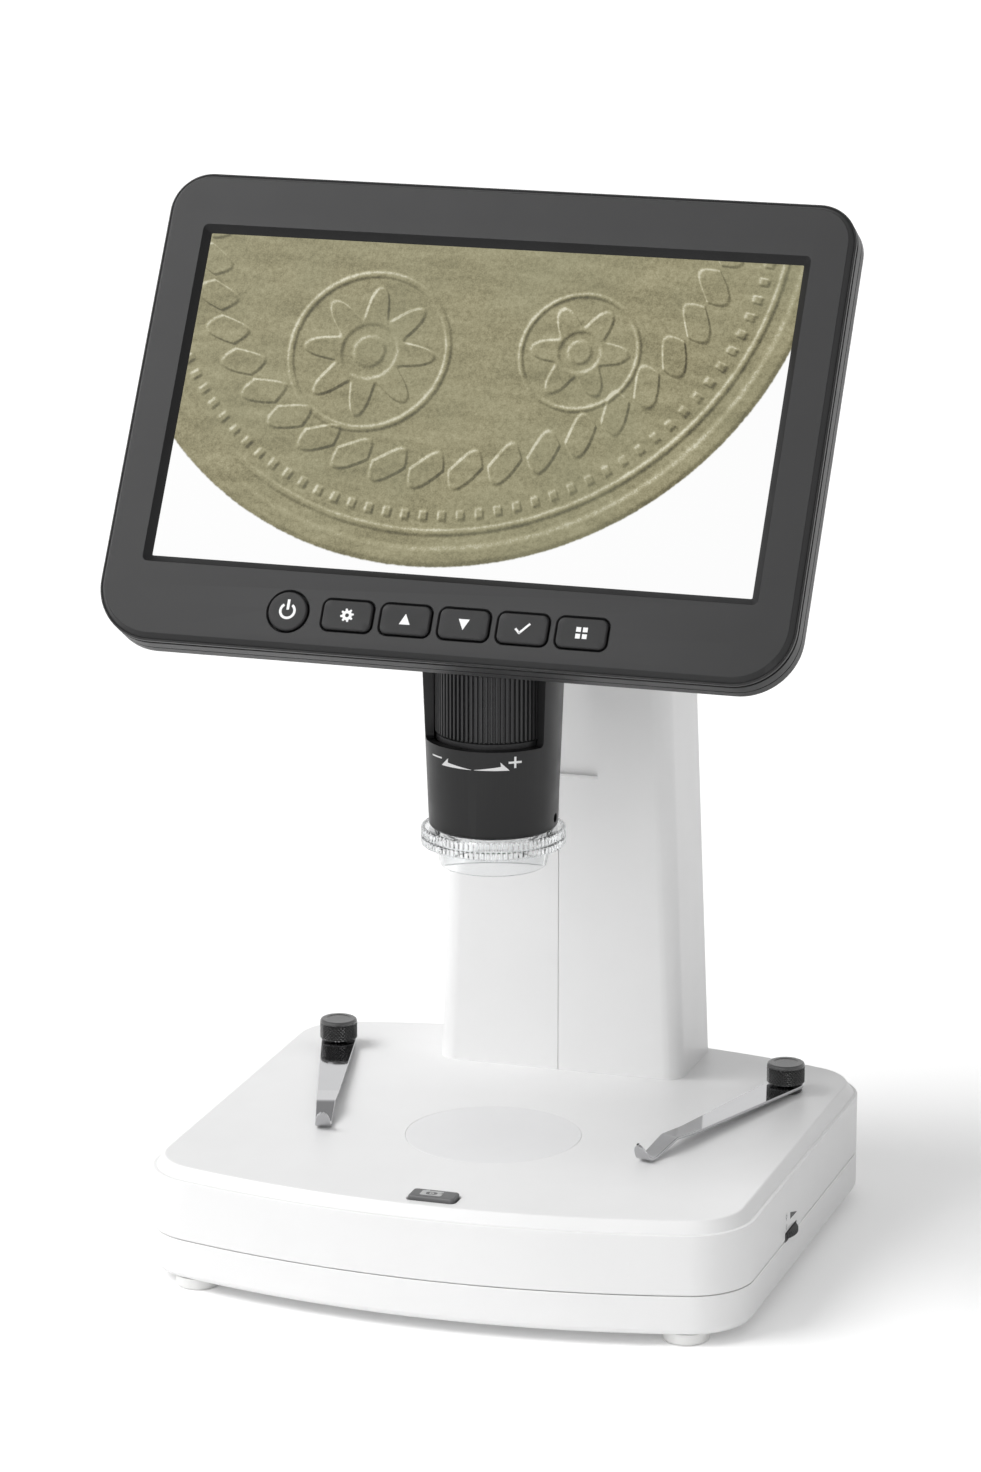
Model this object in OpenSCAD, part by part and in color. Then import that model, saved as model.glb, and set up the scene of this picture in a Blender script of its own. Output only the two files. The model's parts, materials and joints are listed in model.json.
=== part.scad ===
// Desktop digital microscope: a white base and column carry a focusing barrel and a tilting screen.
// Origin on the table under the middle of the base, X to the right, Y to the back, Z up, millimetres.

/* [Base] */
// Width of the base between its straight sides
base_w = 158; // [150:1:170]
// Depth of the base over its bowed front and back
base_d = 151.8; // [148:0.2:164]
// Radius of the bowed front edge
front_bow_r = 248; // [200:1:400]
// Radius of the bowed back edge
rear_bow_r = 235; // [200:1:400]
// Radius of the corners seen from above
base_corner_r = 17; // [14:0.5:22]
// Height of the bottom tray's outer wall
tray_h = 10.5; // [9:0.5:13]
// Height of the top cover's outer wall
cover_h = 18.7; // [17:0.1:24]
// Thickness of the base walls
base_wall = 2.4; // [2:0.1:3]
// Thickness of the top cover's flat plate
cover_t = 2.6; // [2:0.1:3.5]
// Thickness of the tray's floor
tray_floor = 2.2; // [1.6:0.1:3]
// Width of the bevel round the top edge
bevel_w = 2.8; // [1:0.1:3.4]
// Height of the bevel round the top edge
bevel_h = 3.2; // [1:0.1:4]
// Bevel under the tray's edge
tray_bevel = 1; // [0.4:0.1:1.6]
// Height of the lip that keys the tray into the cover
lip_h = 2.2; // [1:0.1:3]

/* [Feet] */
// Radius of a foot
foot_r = 6; // [4:0.1:6.3]
// Height of a foot below the tray
foot_h = 3; // [2:0.5:5]
// Distance of the feet from the base's sides
foot_side = 14.7; // [14:0.1:23]
// Distance of the feet from the base's front and back edges
foot_end = 15.7; // [15.5:0.1:22]
// Radius of a foot's plug in the tray floor
foot_plug_r = 2.5; // [1.5:0.1:4]

/* [Stage] */
// Radius of the light diffuser
disc_r = 22.6; // [18:0.1:25]
// Thickness of the light diffuser
disc_t = 1.8; // [1.2:0.1:2]
// Width of the ledge under the diffuser
disc_ledge = 1.4; // [1:0.1:2.5]
// Depth of the light well under the cover plate
well_h = 9.8; // [6:0.1:11]
// Thickness of a circuit board
board_t = 1.6; // [1:0.1:2]

/* [Snapshot button] */
// Width of the snapshot button
snap_w = 12; // [9:0.1:15]
// Depth of the snapshot button
snap_d = 5.8; // [4.5:0.1:6.4]
// How far the snapshot button stands up
snap_proud = 1.1; // [0.9:0.1:2]
// Travel of the snapshot button
snap_travel = 0.8; // [0.3:0.1:0.8]
// Distance of the snapshot button behind the front bow
snap_inset = 8.9; // [8.5:0.1:12]
// Distance of the snapshot button from the middle, to the right
snap_x = 0.9; // [-4:0.1:4]

/* [Brightness wheel] */
// Radius of the brightness wheel
dim_r = 8.5; // [7.5:0.1:9.5]
// Thickness of the brightness wheel
dim_t = 1.6; // [1.2:0.1:3]
// How far the brightness wheel stands out of the side
dim_out = 1.7; // [1:0.1:2.2]
// Distance of the brightness wheel behind the lens axis
dim_back = 0.5; // [-4:0.1:6]
// Height of the brightness wheel's underside above the seam
dim_rise = 0.2; // [0:0.1:0.8]

/* [Clips] */
// Distance of the clip pivots from the base's sides
pivot_side = 16.8; // [15:0.1:21]
// Distance of the clip pivots from the base's back edge
pivot_end = 34.4; // [30:0.1:40]
// Angle between a clip at rest and straight ahead
clip_angle = 16; // [10:1:24]
// Length of a clip from its pivot to the point that presses
clip_len = 68.4; // [58:0.1:72]
// Width of a clip at its pivot
clip_w = 9.4; // [8:0.1:11]
// Width of a clip at its tip
clip_tip_w = 3.8; // [3:0.1:6]
// Thickness of a clip
clip_t = 0.8; // [0.5:0.1:1]
// Height of a clip's underside above the base at its pivot
clip_lift = 1.2; // [1.0:0.1:2]
// Rise of a clip from its pivot to its knee
clip_rise = 1.8; // [1:0.1:3]
// Height of a clip's upturned tip
clip_curl = 5.4; // [4:0.1:7]
// Radius of a clip knob
knob_r = 5.05; // [4.4:0.05:5.4]
// Height of a clip knob
knob_h = 5.6; // [4:0.1:8]
// Radius of a clip knob's threaded stem
stem_r = 2; // [1.5:0.1:2.4]
// Length of the brass insert under a clip knob
insert_len = 8; // [6:0.5:9]
// Outer radius of the brass insert
insert_r = 3.2; // [2.8:0.1:3.6]

/* [Column] */
// Distance of the column's back from the base's back edge
col_inset = 4.2; // [3.5:0.1:6]
// Distance of the lens axis in front of the column
reach = 56; // [54:0.1:60]
// Depth of the column
col_d = 31.6; // [31:0.1:33]
// Half of the column's width at its foot
col_half = 33.8; // [31:0.1:38]
// Half of the column's width at its top
col_top_half = 26.8; // [25:0.1:32]
// Room above the carriage at its highest, under the column's cap
col_room = 1; // [0.6:0.1:3]
// Thickness of the column's cap
cap_t = 3; // [2:0.1:4]
// Wall of the column
col_wall = 2.5; // [2:0.1:2.8]
// Radius of the column's upright edges
col_edge_r = 5; // [3.5:0.1:6]
// Half of the width of the slot in the column's front
slot_half = 10.6; // [9:0.1:12]
// Room in the slot below the arm at its lowest
slot_room = 8.9; // [4:0.1:20]
// Thickness of the steel plate at the column's foot
foot_plate_t = 2.8; // [2:0.1:4]

/* [Height drive] */
// Radius of a guide rod
rod_r = 3; // [2.5:0.1:3.2]
// Distance of the guide rods from the middle
rod_x = 14; // [12.5:0.1:15]
// Travel of the head upward from rest
travel_up = 10; // [6:1:12]
// Travel of the head downward from rest
travel_down = 30; // [20:1:34]
// Height of the pinion above the barrel's lower end
pinion_up = 41; // [39:0.1:43]
// Number of teeth of the pinion
pinion_teeth = 14; // [13:1:15]
// Module of the gear teeth
tooth_module = 0.7; // [0.65:0.01:0.72]
// Play between the gear teeth along the pitch line
backlash = 0.2; // [0.12:0.01:0.3]
// Radius of the pinion shaft
shaft_r = 2.5; // [2:0.1:2.8]
// Radius of a height knob
hknob_r = 10; // [8:0.1:11]
// Length of a height knob
hknob_len = 12; // [9:0.1:14]
// Depth of the carriage on the guide rods
carriage_d = 9.2; // [8.6:0.1:10]

/* [Barrel] */
// Height of the barrel's lower end above the base
barrel_up = 82.8; // [78:0.1:88]
// Length of the barrel
barrel_len = 48; // [46:0.5:50]
// Radius of the barrel at its lower end
barrel_r = 16.3; // [15.8:0.1:17]
// Widening of the barrel's radius over its length
barrel_flare = 1.9; // [1.5:0.1:2.4]
// Radius of the barrel's upper bore
bore_r = 15.1; // [14.6:0.1:15.4]
// Radius of the barrel's lower bore
mouth_r = 13.2; // [12.8:0.1:13.6]
// Height of the window's sill above the barrel's lower end
sill_up = 23; // [21:0.1:25]
// Height of the window in the barrel
window_h = 20; // [16:0.1:20.6]
// Half of the angle that the window spans
window_half = 64.5; // [50:0.5:75]
// Thickness of the shelf that carries the focus wheel
shelf_t = 3; // [2:0.1:4]

/* [Focus] */
// Number of ribs on the focus wheel
focus_ribs = 72; // [48:1:80]
// Depth of the ribs on the focus wheel
rib_d = 0.6; // [0.3:0.1:0.8]
// Wall of the focus wheel, with its ribs
focus_wall = 3.1; // [2.4:0.1:3.4]
// Travel of the lens carrier, up and down from rest
focus_travel = 3; // [1:0.5:3.4]
// Radius of the lens carrier's nose
nose_r = 4.6; // [4:0.1:5]
// Radius of the objective lens
lens_r = 3.4; // [2.6:0.1:3.8]

/* [Light shroud] */
// Radius of the shroud's toothed rim
rim_r = 18.3; // [17.6:0.1:19]
// Height of the shroud's toothed rim
rim_h = 4.5; // [3:0.1:5.5]
// Number of teeth on the rim
rim_teeth = 84; // [60:1:96]
// Radius of the shroud's cup below the rim
cup_r = 14.7; // [14.2:0.1:15.2]
// Radius of the shroud at its open end
cup_end_r = 13.6; // [13.2:0.1:14.4]
// Height of the shroud's cup below the rim
cup_h = 5.4; // [4:0.1:8]
// Wall of the shroud
cup_wall = 1.2; // [1:0.1:1.6]
// Height of the shroud's spigot inside the barrel
spigot_h = 4; // [3:0.1:5]

/* [Head] */
// Height of the head housing above the barrel
pod_h = 23; // [21:0.5:25]
// Wall of the head housing
pod_wall = 2.2; // [1.8:0.1:2.8]
// Half of the width of the arm through the column's slot
arm_half = 10.2; // [8:0.1:10.4]
// Drop of the arm below the top of the barrel
arm_drop = 11; // [8:0.5:12]
// Clearance between the head and the screen's back when the screen stands upright
head_relief = 2.5; // [1.5:0.1:3.5]

/* [Screen hinge] */
// Height of the hinge axis above the head housing
hinge_up = 11.6; // [11:0.1:13]
// Distance of the hinge axis behind the lens axis
hinge_back = 9.5; // [8:0.1:12]
// Distance of the hinge axis behind the screen's surface
hinge_off = 34; // [33:0.1:37]
// Distance of the hinge axis below the middle of the picture, along the screen
hinge_low = 10; // [6:0.5:14]
// Radius of the hinge pin
pin_r = 2.5; // [2:0.1:3]
// Radius of the hinge ears
ear_r = 6; // [5:0.1:6.4]
// Thickness of the hinge ears
ear_t = 2; // [1.5:0.1:2.5]
// Half of the distance between the outer faces of the inner ears
ear_half = 15; // [12:0.1:16]
// Lean of the screen back from upright, at rest
tilt = 31.3; // [28:0.1:34]
// How far the screen turns from rest towards upright
tilt_up = 8; // [0:1:9]

/* [Screen] */
// Width of the housing's frame beside the picture
frame_side = 12.2; // [12:0.1:16]
// Height of the housing's frame above the picture
frame_top = 16; // [15:0.1:19]
// Height of the housing's frame below the picture
frame_bottom = 22; // [21:0.1:25]
// Radius of the screen housing's corners
mon_corner_r = 15; // [10:0.5:20]
// Width of the bevel round the screen housing's front
mon_bevel = 1.5; // [0.8:0.1:2]
// Thickness of the front plate
plate_t = 1.6; // [1.2:0.1:2]
// Wall of the screen housing
mon_wall = 2.2; // [1.8:0.1:2.8]
// Depth of the front bezel behind the picture
bezel_d = 5.5; // [5:0.1:7]
// Depth of the rear shell behind the bezel
rear_d = 5.5; // [4.5:0.1:6.5]
// Rounding of the rear shell's back edge
rear_round = 2.5; // [1:0.1:3]
// Width of the raised part of the rear shell
hump_w = 116; // [100:1:126]
// Height of the raised part of the rear shell
hump_h = 94; // [80:1:100]
// How far the raised part stands back
hump_d = 9; // [8:0.1:10]
// Draft of the raised part's sides
hump_draft = 2.5; // [1:0.1:4]
// Width of the picture
lcd_w = 154; // [150:0.1:156]
// Height of the picture
lcd_h = 86; // [84:0.1:87]
// Width of the bevel round the picture
lcd_bevel = 1.7; // [1:0.1:2]
// Border of the display panel outside the picture
lcd_border = 3.4; // [2.6:0.1:3.8]
// Thickness of the display panel
lcd_t = 4.6; // [3:0.1:5]

/* [Keys] */
// Distance of the keys' middle below the picture
key_drop = 12.3; // [11.8:0.1:13]
// Width of a key
key_w = 12.7; // [9:0.1:12.8]
// Height of a key
key_h = 7.7; // [6:0.1:8]
// Rounding of a key's corners
key_round = 1.8; // [1:0.1:2.4]
// Distance from one key to the next
key_pitch = 14.95; // [14.7:0.05:15.2]
// Distance of the middle key to the right of the picture's middle
key_mid_x = 6.8; // [0:0.1:8]
// Radius of the power key
power_r = 5.05; // [4:0.05:5.3]
// How far the keys stand out of the bezel
key_proud = 0.5; // [0.4:0.1:0.8]
// Travel of a key
key_travel = 0.4; // [0.2:0.1:0.5]

/* [Fits] */
// Clearance round a loose piece
gap = 0.3; // [0.25:0.01:0.35]
// Radial clearance of a shaft that turns in its hole
run_gap = 0.05; // [0.02:0.01:0.08]
// Half of the width of the seam between the base's shells
seam_half = 0.12; // [0.08:0.01:0.2]

/* [Hidden] */
$fn = 72;
eps = 0.01;                                   // a slice thin enough not to show
over = 1;                                     // how far a cutter reaches past what it cuts

// Heights of the base
seam_z = foot_h + tray_h;
base_top = seam_z + cover_h;
plate_z = base_top - cover_t;                 // underside of the cover's flat plate
floor_z = foot_h + tray_floor;                // upper side of the tray's floor
col_rear = base_d / 2 - col_inset;            // Y of the column's back and front
col_front = col_rear - col_d;
rest_y = col_front - reach;                   // Y of the lens axis
foot_x = base_w / 2 - foot_side;
foot_y = base_d / 2 - foot_end;

// Base screws and boards
post_r = 3.6;
screw_r = 1.5;
screw_head_r = 2.8;
screw_head_h = 1.8;
screw_side = 11;                              // from the base's sides to the front screws
screw_front = 37.9;                           // from the base's front edge to the front screws
screw_rear_x = 40;
screw_rear = 13.9;                            // from the base's back edge to the rear screws
base_screws_front = [base_w / 2 - screw_side, screw_front - base_d / 2];
base_screws_rear = [screw_rear_x, base_d / 2 - screw_rear];
base_screw_at = [for (p = [base_screws_front, base_screws_rear], s = [-1, 1]) [s * p.x, p.y]];
foot_bevel = 0.6;
lip_t = 1.3;                                  // wall of the tray's lip
screw_gap = 0.2;                              // clearance of a screw in the tray
screw_short = 4;                              // how far a base screw stops below its hole's end
well_wall = 2;
led_board_z = plate_z - well_h - board_t;
stage_led_r = 13;
led_w = 3;
led_h = 1;
base_board_w = 23.3;
base_board_d = 46.2;
base_board_side = 5.7;                        // from the base's left side to the board
base_board_back = 19.7;                       // from the base's back edge to the board
base_board_x = base_board_side - base_w / 2;
base_board_y = base_d / 2 - base_board_back - base_board_d;
base_board_box = [[base_board_x, base_board_y], [base_board_x + base_board_w, base_board_y + base_board_d]];
port_lift = 0.1;                              // how far the sockets clear the tray's lip
base_board_z = seam_z + lip_h + port_lift - board_t;
board_post_r = 2.2;
board_post_inset = 3;
chip_size = [7, 7, 1.2];
chip_inset = [2, 8];
plug_size = [4, 6, 3];
battery_size = [36, 70, 10];
battery_tab = [8, 2, 6];
battery_side = 17;                            // from the base's right side to the battery
battery_ahead = 23.9;                         // from the base's front edge to the battery
battery_right = base_w / 2 - battery_side;
battery_front = battery_ahead - base_d / 2;
usb_size = [8.2, 7.8, 2.8];
usb_back = 25.3;                              // from the base's back edge to the sockets
card_back = 37.5;
usb_y = base_d / 2 - usb_back;
card_size = [13, 11.6, 1.9];
card_y = base_d / 2 - card_back;
port_inset = 1.3;                             // how far the sockets sit behind the side face

// Snapshot button
snap_y = -base_d / 2 + snap_inset;
snap_flange = 1;
snap_round = 1;
snap_bevel = 0.5;
snap_foot_z = plate_z - gap - snap_flange;
snap_switch_top = snap_foot_z - snap_travel - gap / 2;
switch_w = 6;
switch_body_h = 3.2;
switch_pin_h = 0.6;
snap_board_z = snap_switch_top - switch_pin_h - switch_body_h - board_t;
snap_board_w = 26;
snap_board_d = 8;
snap_post_x = 10.6;
snap_post_r = 1.6;

// Brightness wheel
dim_x = base_w / 2 + dim_out - dim_r;
dim_y = rest_y + dim_back;
dim_z = seam_z + dim_rise;
dim_shaft_r = 1.5;
pot_w = 5.6;
dim_teeth = 60;
dim_tooth = 0.35;

// Clips and their knobs
pivot_x = base_w / 2 - pivot_side;
pivot_y = base_d / 2 - pivot_end;
clip_bottom = base_top + clip_lift;
clip_top = clip_bottom + clip_t;
knob_z = clip_top + gap;
clip_knee = 11;                               // from the knee to the point that presses
clip_past = 4;                                // length of the tip past that point
insert_boss = 2;                              // wall of the cover's boss round an insert
knob_bevel = 0.6;
knob_ribs = 40;
knob_tooth = 0.25;
collar_z = clip_bottom - gap;                 // top of the collar under the clip
stem_hole = stem_r + run_gap;
pilot_depth = 1;

// Column
col_z0 = base_top;
rack_margin = 6;                              // how far the rack reaches past its travel
pinion_z = base_top + barrel_up + pinion_up;
rack_z0 = pinion_z - travel_up - rack_margin;
rack_z1 = pinion_z + travel_down + rack_margin;
col_top = rack_z1 + travel_up + col_room + cap_t;
col_h = col_top - base_top;
shell_top = col_top - cap_t;
slot_z0 = base_top + barrel_up + barrel_len - arm_drop - travel_down - slot_room;
shutter_gap = 0.6;
shutter_t = 1.2;
shutter_y = col_front + col_wall + shutter_gap;
carriage_y0 = shutter_y + shutter_t;
carriage_y1 = carriage_y0 + carriage_d;
rod_y = carriage_y0 + carriage_d / 2;
bush_wall = 1.2;
bush_len = 12;
cap_spigot = 3;
cap_play = 0.1;                               // clearance of the cap's spigot in the column
spigot_t = 1.8;
spigot_in = col_wall + spigot_t;              // from the column's face to the back of the spigot's wall
slot_side = 3.6;                              // how far the spigot stays clear of the slot's sides
col_boss_r = 3.4;
col_boss_in = 0.5;                            // how far a boss's rim reaches into the wall beside it
col_screw_in = 6.3;                           // from the column's side to its screws
col_screw_x = col_half - col_screw_in;
col_screw_y0 = col_front + col_wall + col_boss_r - col_boss_in;
col_screw_y1 = col_rear - col_wall - col_boss_r + col_boss_in;
col_screw_at = [for (sx = [-1, 1], y = [col_screw_y0, col_screw_y1]) [sx * col_screw_x, y]];
col_boss_h = 12;
plate_play = 1;                               // clearance of the steel plate at its sides
plate_side = col_wall + plate_play;
plate_end = col_wall + plate_play / 2;
rod_boss_up = 6;
rod_boss_h = foot_plate_t + rod_boss_up;
rod_boss_t = 1.4;

// Gears: the rack stands still behind the carriage in the head's own frame
pitch_r = tooth_module * pinion_teeth / 2;
tooth_pitch = PI * tooth_module;
tooth_thick = tooth_pitch / 2 - backlash / 2;
pressure = 25;
addendum = tooth_module;
dedendum = 1.25 * tooth_module;
rack_back_t = 2;
rack_pitch_y = carriage_y1 + rack_back_t + dedendum;
pinion_y = rack_pitch_y + pitch_r;
pinion_w = 9;
rack_w = 7;
carriage_side = 1.6;                          // wall of the carriage beside a bush
carriage_half = rod_x + rod_r + bush_wall + carriage_side;
function col_half_at(z) = col_half + (col_top_half - col_half) * (z - col_z0) / (col_top - col_z0);
shaft_wall_x = col_half_at(pinion_z);
bush_t = 1.8;
bush_r = shaft_r + bush_t;
bush_rim = 1.2;                               // height and width of a bush's rim
bush_out = 0.8;
bush_x = shaft_wall_x - col_wall - 2 * bush_rim;
collar_t = 2;                                 // width of a collar on the shaft
hknob_x0 = shaft_wall_x + bush_out + gap;
hknob_ribs = 40;
hknob_tooth = 0.5;
hknob_neck = 1.6;                             // length of the knob's narrow neck
hknob_neck_in = 3.8;                          // how much smaller the neck's radius is
hknob_bevel = 1;
hknob_end = 2;                                // thickness of the knob's closed end

// Barrel and focus
bar_z0 = base_top + barrel_up;
bar_z1 = bar_z0 + barrel_len;
barrel_bevel = 0.5;
sill_z = bar_z0 + sill_up;
shelf_in = 1;                                 // from the sill down to the shelf
shelf_z1 = sill_z - shelf_in;
shelf_z0 = shelf_z1 - shelf_t;
shelf_r = 12.3;
focus_r = bore_r - gap;
focus_z0 = shelf_z1 + gap;
focus_top_gap = 0.8;                          // from the wheel's top to the window's
focus_z1 = sill_z + window_h - focus_top_gap;
rib_up = 1.5;                                 // from the sill up to the ribs
focus_rib_z0 = sill_z + rib_up;
focus_bore = focus_r - focus_wall;
carrier_r = focus_bore - run_gap;
carrier_h = 14;
carrier_margin = 1.2;                         // from the carrier at its highest to the wheel's top
carrier_z0 = focus_z1 - focus_travel - carrier_margin - carrier_h;
carrier_wall = 2;
nose_len = 18;
nose_z0 = carrier_z0 - nose_len;
lens_seat = 1;
lens_lip = 0.5;
lens_t = 2;
led_ring_up = 7;                              // height of the lamp ring above the barrel's end
led_ring_z = bar_z0 + led_ring_up;
nose_gap = 0.8;                               // from the carrier's nose to the lamp ring
led_ring_bore = nose_r + nose_gap;
led_ring_t = 1.2;
led_count = 8;
lamp_r = 1.3;
lamp_place_r = (led_ring_bore + mouth_r - led_ring_t) / 2;
bore_play = 0.1;                              // clearance of what sits in the barrel's bores
sensor_boss_h = 2.4;
sensor_boss_t = 2.6;
sensor_board_t = 1.4;
sensor_w = 8;
sensor_t = 1;
sensor_z = bar_z1 - sensor_boss_h - sensor_board_t;

// Light shroud
rim_tooth = 0.6;

// Head
pod_z0 = bar_z1;
pod_z1 = bar_z1 + pod_h;
pod_cover_t = 2;
pod_r = barrel_r + barrel_flare - gap;
pod_gap = 3.6;                                // from the head housing to the column
pod_rear = col_front - pod_gap;
arm_z0 = bar_z1 - arm_drop;
arm_in = 4;                                   // from the top of the head housing down to the arm's
arm_z1 = pod_z1 - arm_in;
arm_y0 = rest_y + barrel_r + barrel_flare + gap;
wire_hole_r = 6;                              // opening for the sensor's wires
arm_gap = 0.2;
shutter_lap = 11.1;                           // how far the shutter reaches past the slot's lower end
shutter_drop = travel_up + travel_down + slot_room + shutter_lap;
shutter_side = 3;                             // how far the shutter reaches past the slot's sides
shutter_half = slot_half + shutter_side;

// Hinge and screen frame: x to the right, y up along the screen, z out of the screen
mon_w = lcd_w + 2 * frame_side;
mon_h = lcd_h + frame_top + frame_bottom;
mon_drop = (frame_bottom - frame_top) / 2;    // the housing's middle lies below the picture's
hinge_y = rest_y + hinge_back;
hinge_z = pod_z1 + hinge_up;
hinge_plate_t = 1.6;
hinge_plate_more = 8;                         // how far the lower plate reaches behind its ears
hinge_gap = 0.3;
hump_back = plate_back() + hump_d;            // depth of the hump's back behind the picture
hump_gap = hinge_off - hump_back;             // from the hinge axis to the hump
pin_head_t = 1.6;
pin_rim = 1.2;
pin_half = ear_half + hinge_gap + ear_t;
function plate_back() = bezel_d + rear_d;
hump_up = 1.6;                                // from the housing's lower edge to the hump's
hump_y0 = -mon_h / 2 - mon_drop + hump_up;
hump_round = 10;
bracket_half = 13;
bracket_screw_in = 9;
mon_seam = 0.2;
mon_boss_r = 2.8;
mon_boss_gap = 0.6;                           // from a boss to the wall beside it
mon_screw_end_y = 11;                         // from the housing's upper and lower edges to the screws
mon_screw_x = mon_w / 2 - mon_wall - mon_boss_r - mon_boss_gap;
mon_screw_y = mon_h / 2 - mon_screw_end_y;
mon_screw_at = [for (sx = [-1, 1], sy = [-1, 1]) [sx * mon_screw_x, sy * mon_screw_y - mon_drop]];
mon_screw_r = 1.1;
mon_groove = 0.5;                             // depth, width and place of the groove round the bezel
mon_groove_w = 0.9;
mon_groove_z = 1;
mon_screw_end = 0.4;                          // how far a screw hole stays behind the picture's surface
mon_screw_rim = 1;                            // how far a screw's head stands out round its shank
mon_screw_sink = 2.4;
driver_gap = 4;                               // from the display panel back to the driver board
driver_z = -lcd_t - driver_gap;
driver_size = [96, 60];
driver_chip = [16, 16, 1.4];
memory_chip = [10, 12, 1];
driver_y = hump_y0 + hump_h / 2;
driver_post_in = 5;                           // from the driver board's edges to its posts
driver_post_at = [for (sx = [-1, 1], sy = [-1, 1])
  [sx * (driver_size.x / 2 - driver_post_in), sy * (driver_size.y / 2 - driver_post_in)]];
driver_post_r = 2.4;

// Keys
key_low = lcd_h / 2 + key_drop;               // from the picture's middle down to the keys
key_flange = 0.9;
key_flange_t = 0.9;
key_foot = -gap - key_flange_t;               // back of a key, in the screen frame
key_board_z = key_foot - key_travel - gap / 2 - switch_pin_h - switch_body_h - board_t;
key_board_w = 100;
key_board_h = 13;
key_board_post_x = 47.6;
key_board_post_y = 4;
key_post_r = 1.5;
power_more = 0.5;                             // how much further left the power key stands
power_x = key_mid_x - 3 * key_pitch - power_more;
function key_x(i) = key_mid_x + (i - 2) * key_pitch;

// ---------- outlines ----------

function arc(c, r, a0, a1, n) = [for (i = [0:n]) let (a = a0 + (a1 - a0) * i / n) c + r * [cos(a), sin(a)]];

// Outline of the base, drawn in by d on all sides: two bows, two straight sides and four round corners
module base_outline(d) {
  r = max(base_corner_r - d, 0.5);
  side = base_w / 2 - d - r;
  front_c = -base_d / 2 + front_bow_r;
  rear_c = base_d / 2 - rear_bow_r;
  front_r = front_bow_r - d;
  rear_r = rear_bow_r - d;
  front_a = asin(side / (front_r - r));
  rear_a = asin(side / (rear_r - r));
  front_y = front_c - (front_r - r) * cos(front_a);
  rear_y = rear_c + (rear_r - r) * cos(rear_a);
  polygon(concat(
    arc([0, front_c], front_r, 270 - front_a, 270 + front_a, 20),
    arc([side, front_y], r, 270 + front_a, 360, 7),
    arc([side, rear_y], r, 0, 90 - rear_a, 7),
    arc([0, rear_c], rear_r, 90 - rear_a, 90 + rear_a, 20),
    arc([-side, rear_y], r, 90 + rear_a, 180, 7),
    arc([-side, front_y], r, 180, 270 - front_a, 7)));
}

module round_rect(w, h, r) {
  for (sx = [-1, 1], sy = [-1, 1]) translate([sx * (w / 2 - r), sy * (h / 2 - r)]) circle(r);
  square([w - 2 * r, h], center = true);
  square([w, h - 2 * r], center = true);
}

module round_block(w, d, h, r) linear_extrude(h) round_rect(w, d, r);

module ring(r_out, r_in, h) rotate_extrude() translate([r_in, 0]) square([r_out - r_in, h]);

// A disc with n small teeth round its edge
module toothed_disc(r, depth, n, h) {
  share = [0, 0.18, 0.5, 0.68];               // where a tooth's four corners lie within its pitch
  drop = [depth, 0, 0, depth];
  linear_extrude(h) polygon([
    for (i = [0:n - 1], k = [0:3]) let (a = (i + share[k]) * 360 / n) (r - drop[k]) * [cos(a), sin(a)]]);
}

module screw(r, len, head_r, head_h) {
  cross = 1.2 * head_r;                       // length and width of the cross cut
  cut = 0.7;
  cylinder(r = r, h = len);
  translate([0, 0, -head_h]) difference() {
    cylinder(r = head_r, h = head_h);
    for (a = [0, 90]) rotate(a) translate([-cross / 2, -cut / 2, -over])
      cube([cross, cut, over + head_h / 2]);
  }
}

// ---------- base ----------

module base_top_cover() color("whitesmoke") difference() {
  union() {
    difference() {
      union() {
        translate([0, 0, seam_z + seam_half])
          linear_extrude(cover_h - seam_half - bevel_h) base_outline(0);
        hull() {
          translate([0, 0, base_top - bevel_h - eps]) linear_extrude(eps) base_outline(0);
          translate([0, 0, base_top - eps]) linear_extrude(eps) base_outline(bevel_w);
        }
      }
      translate([0, 0, seam_z - over]) linear_extrude(plate_z - seam_z + over) base_outline(base_wall);
    }
    for (p = base_screw_at) translate([p.x, p.y, seam_z + lip_h])
      cylinder(r = post_r, h = plate_z - seam_z - lip_h + eps);
    for (s = [-1, 1]) translate([s * pivot_x, pivot_y, base_top - insert_len])
      cylinder(r = insert_r + insert_boss, h = insert_len - cover_t + eps);
    translate([0, rest_y, plate_z - well_h]) ring(disc_r + well_wall, disc_r - disc_ledge, well_h + eps);
    for (s = [-1, 1]) translate([snap_x + s * snap_post_x, snap_y, snap_board_z + board_t])
      cylinder(r = snap_post_r, h = plate_z - snap_board_z - board_t + eps, $fn = 24);
  }
  translate([0, rest_y, base_top - disc_t]) cylinder(r = disc_r + seam_half, h = disc_t + over);
  translate([0, rest_y, plate_z - over]) cylinder(r = disc_r - disc_ledge, h = cover_t + 2 * over);
  for (p = base_screw_at) translate([p.x, p.y, seam_z])
    cylinder(r = screw_r, h = plate_z - seam_z - pilot_depth);
  for (s = [-1, 1]) translate([s * pivot_x, pivot_y, base_top - insert_len + pilot_depth])
    cylinder(r = insert_r, h = insert_len + over);
  translate([snap_x, snap_y, plate_z - over])
    round_block(snap_w + 2 * gap, snap_d + 2 * gap, cover_t + 2 * over, snap_round + gap);
  brightness_slot();
  usb_opening();
  card_opening();
  for (p = col_screw_at) translate([p.x, p.y, plate_z - over])
    cylinder(r = screw_r + gap, h = cover_t + 2 * over);
}

// The slice that the brightness wheel turns in
module brightness_slot() translate([dim_x, dim_y, dim_z - gap])
  cylinder(r = dim_r + gap, h = dim_t + 2 * gap);

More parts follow.
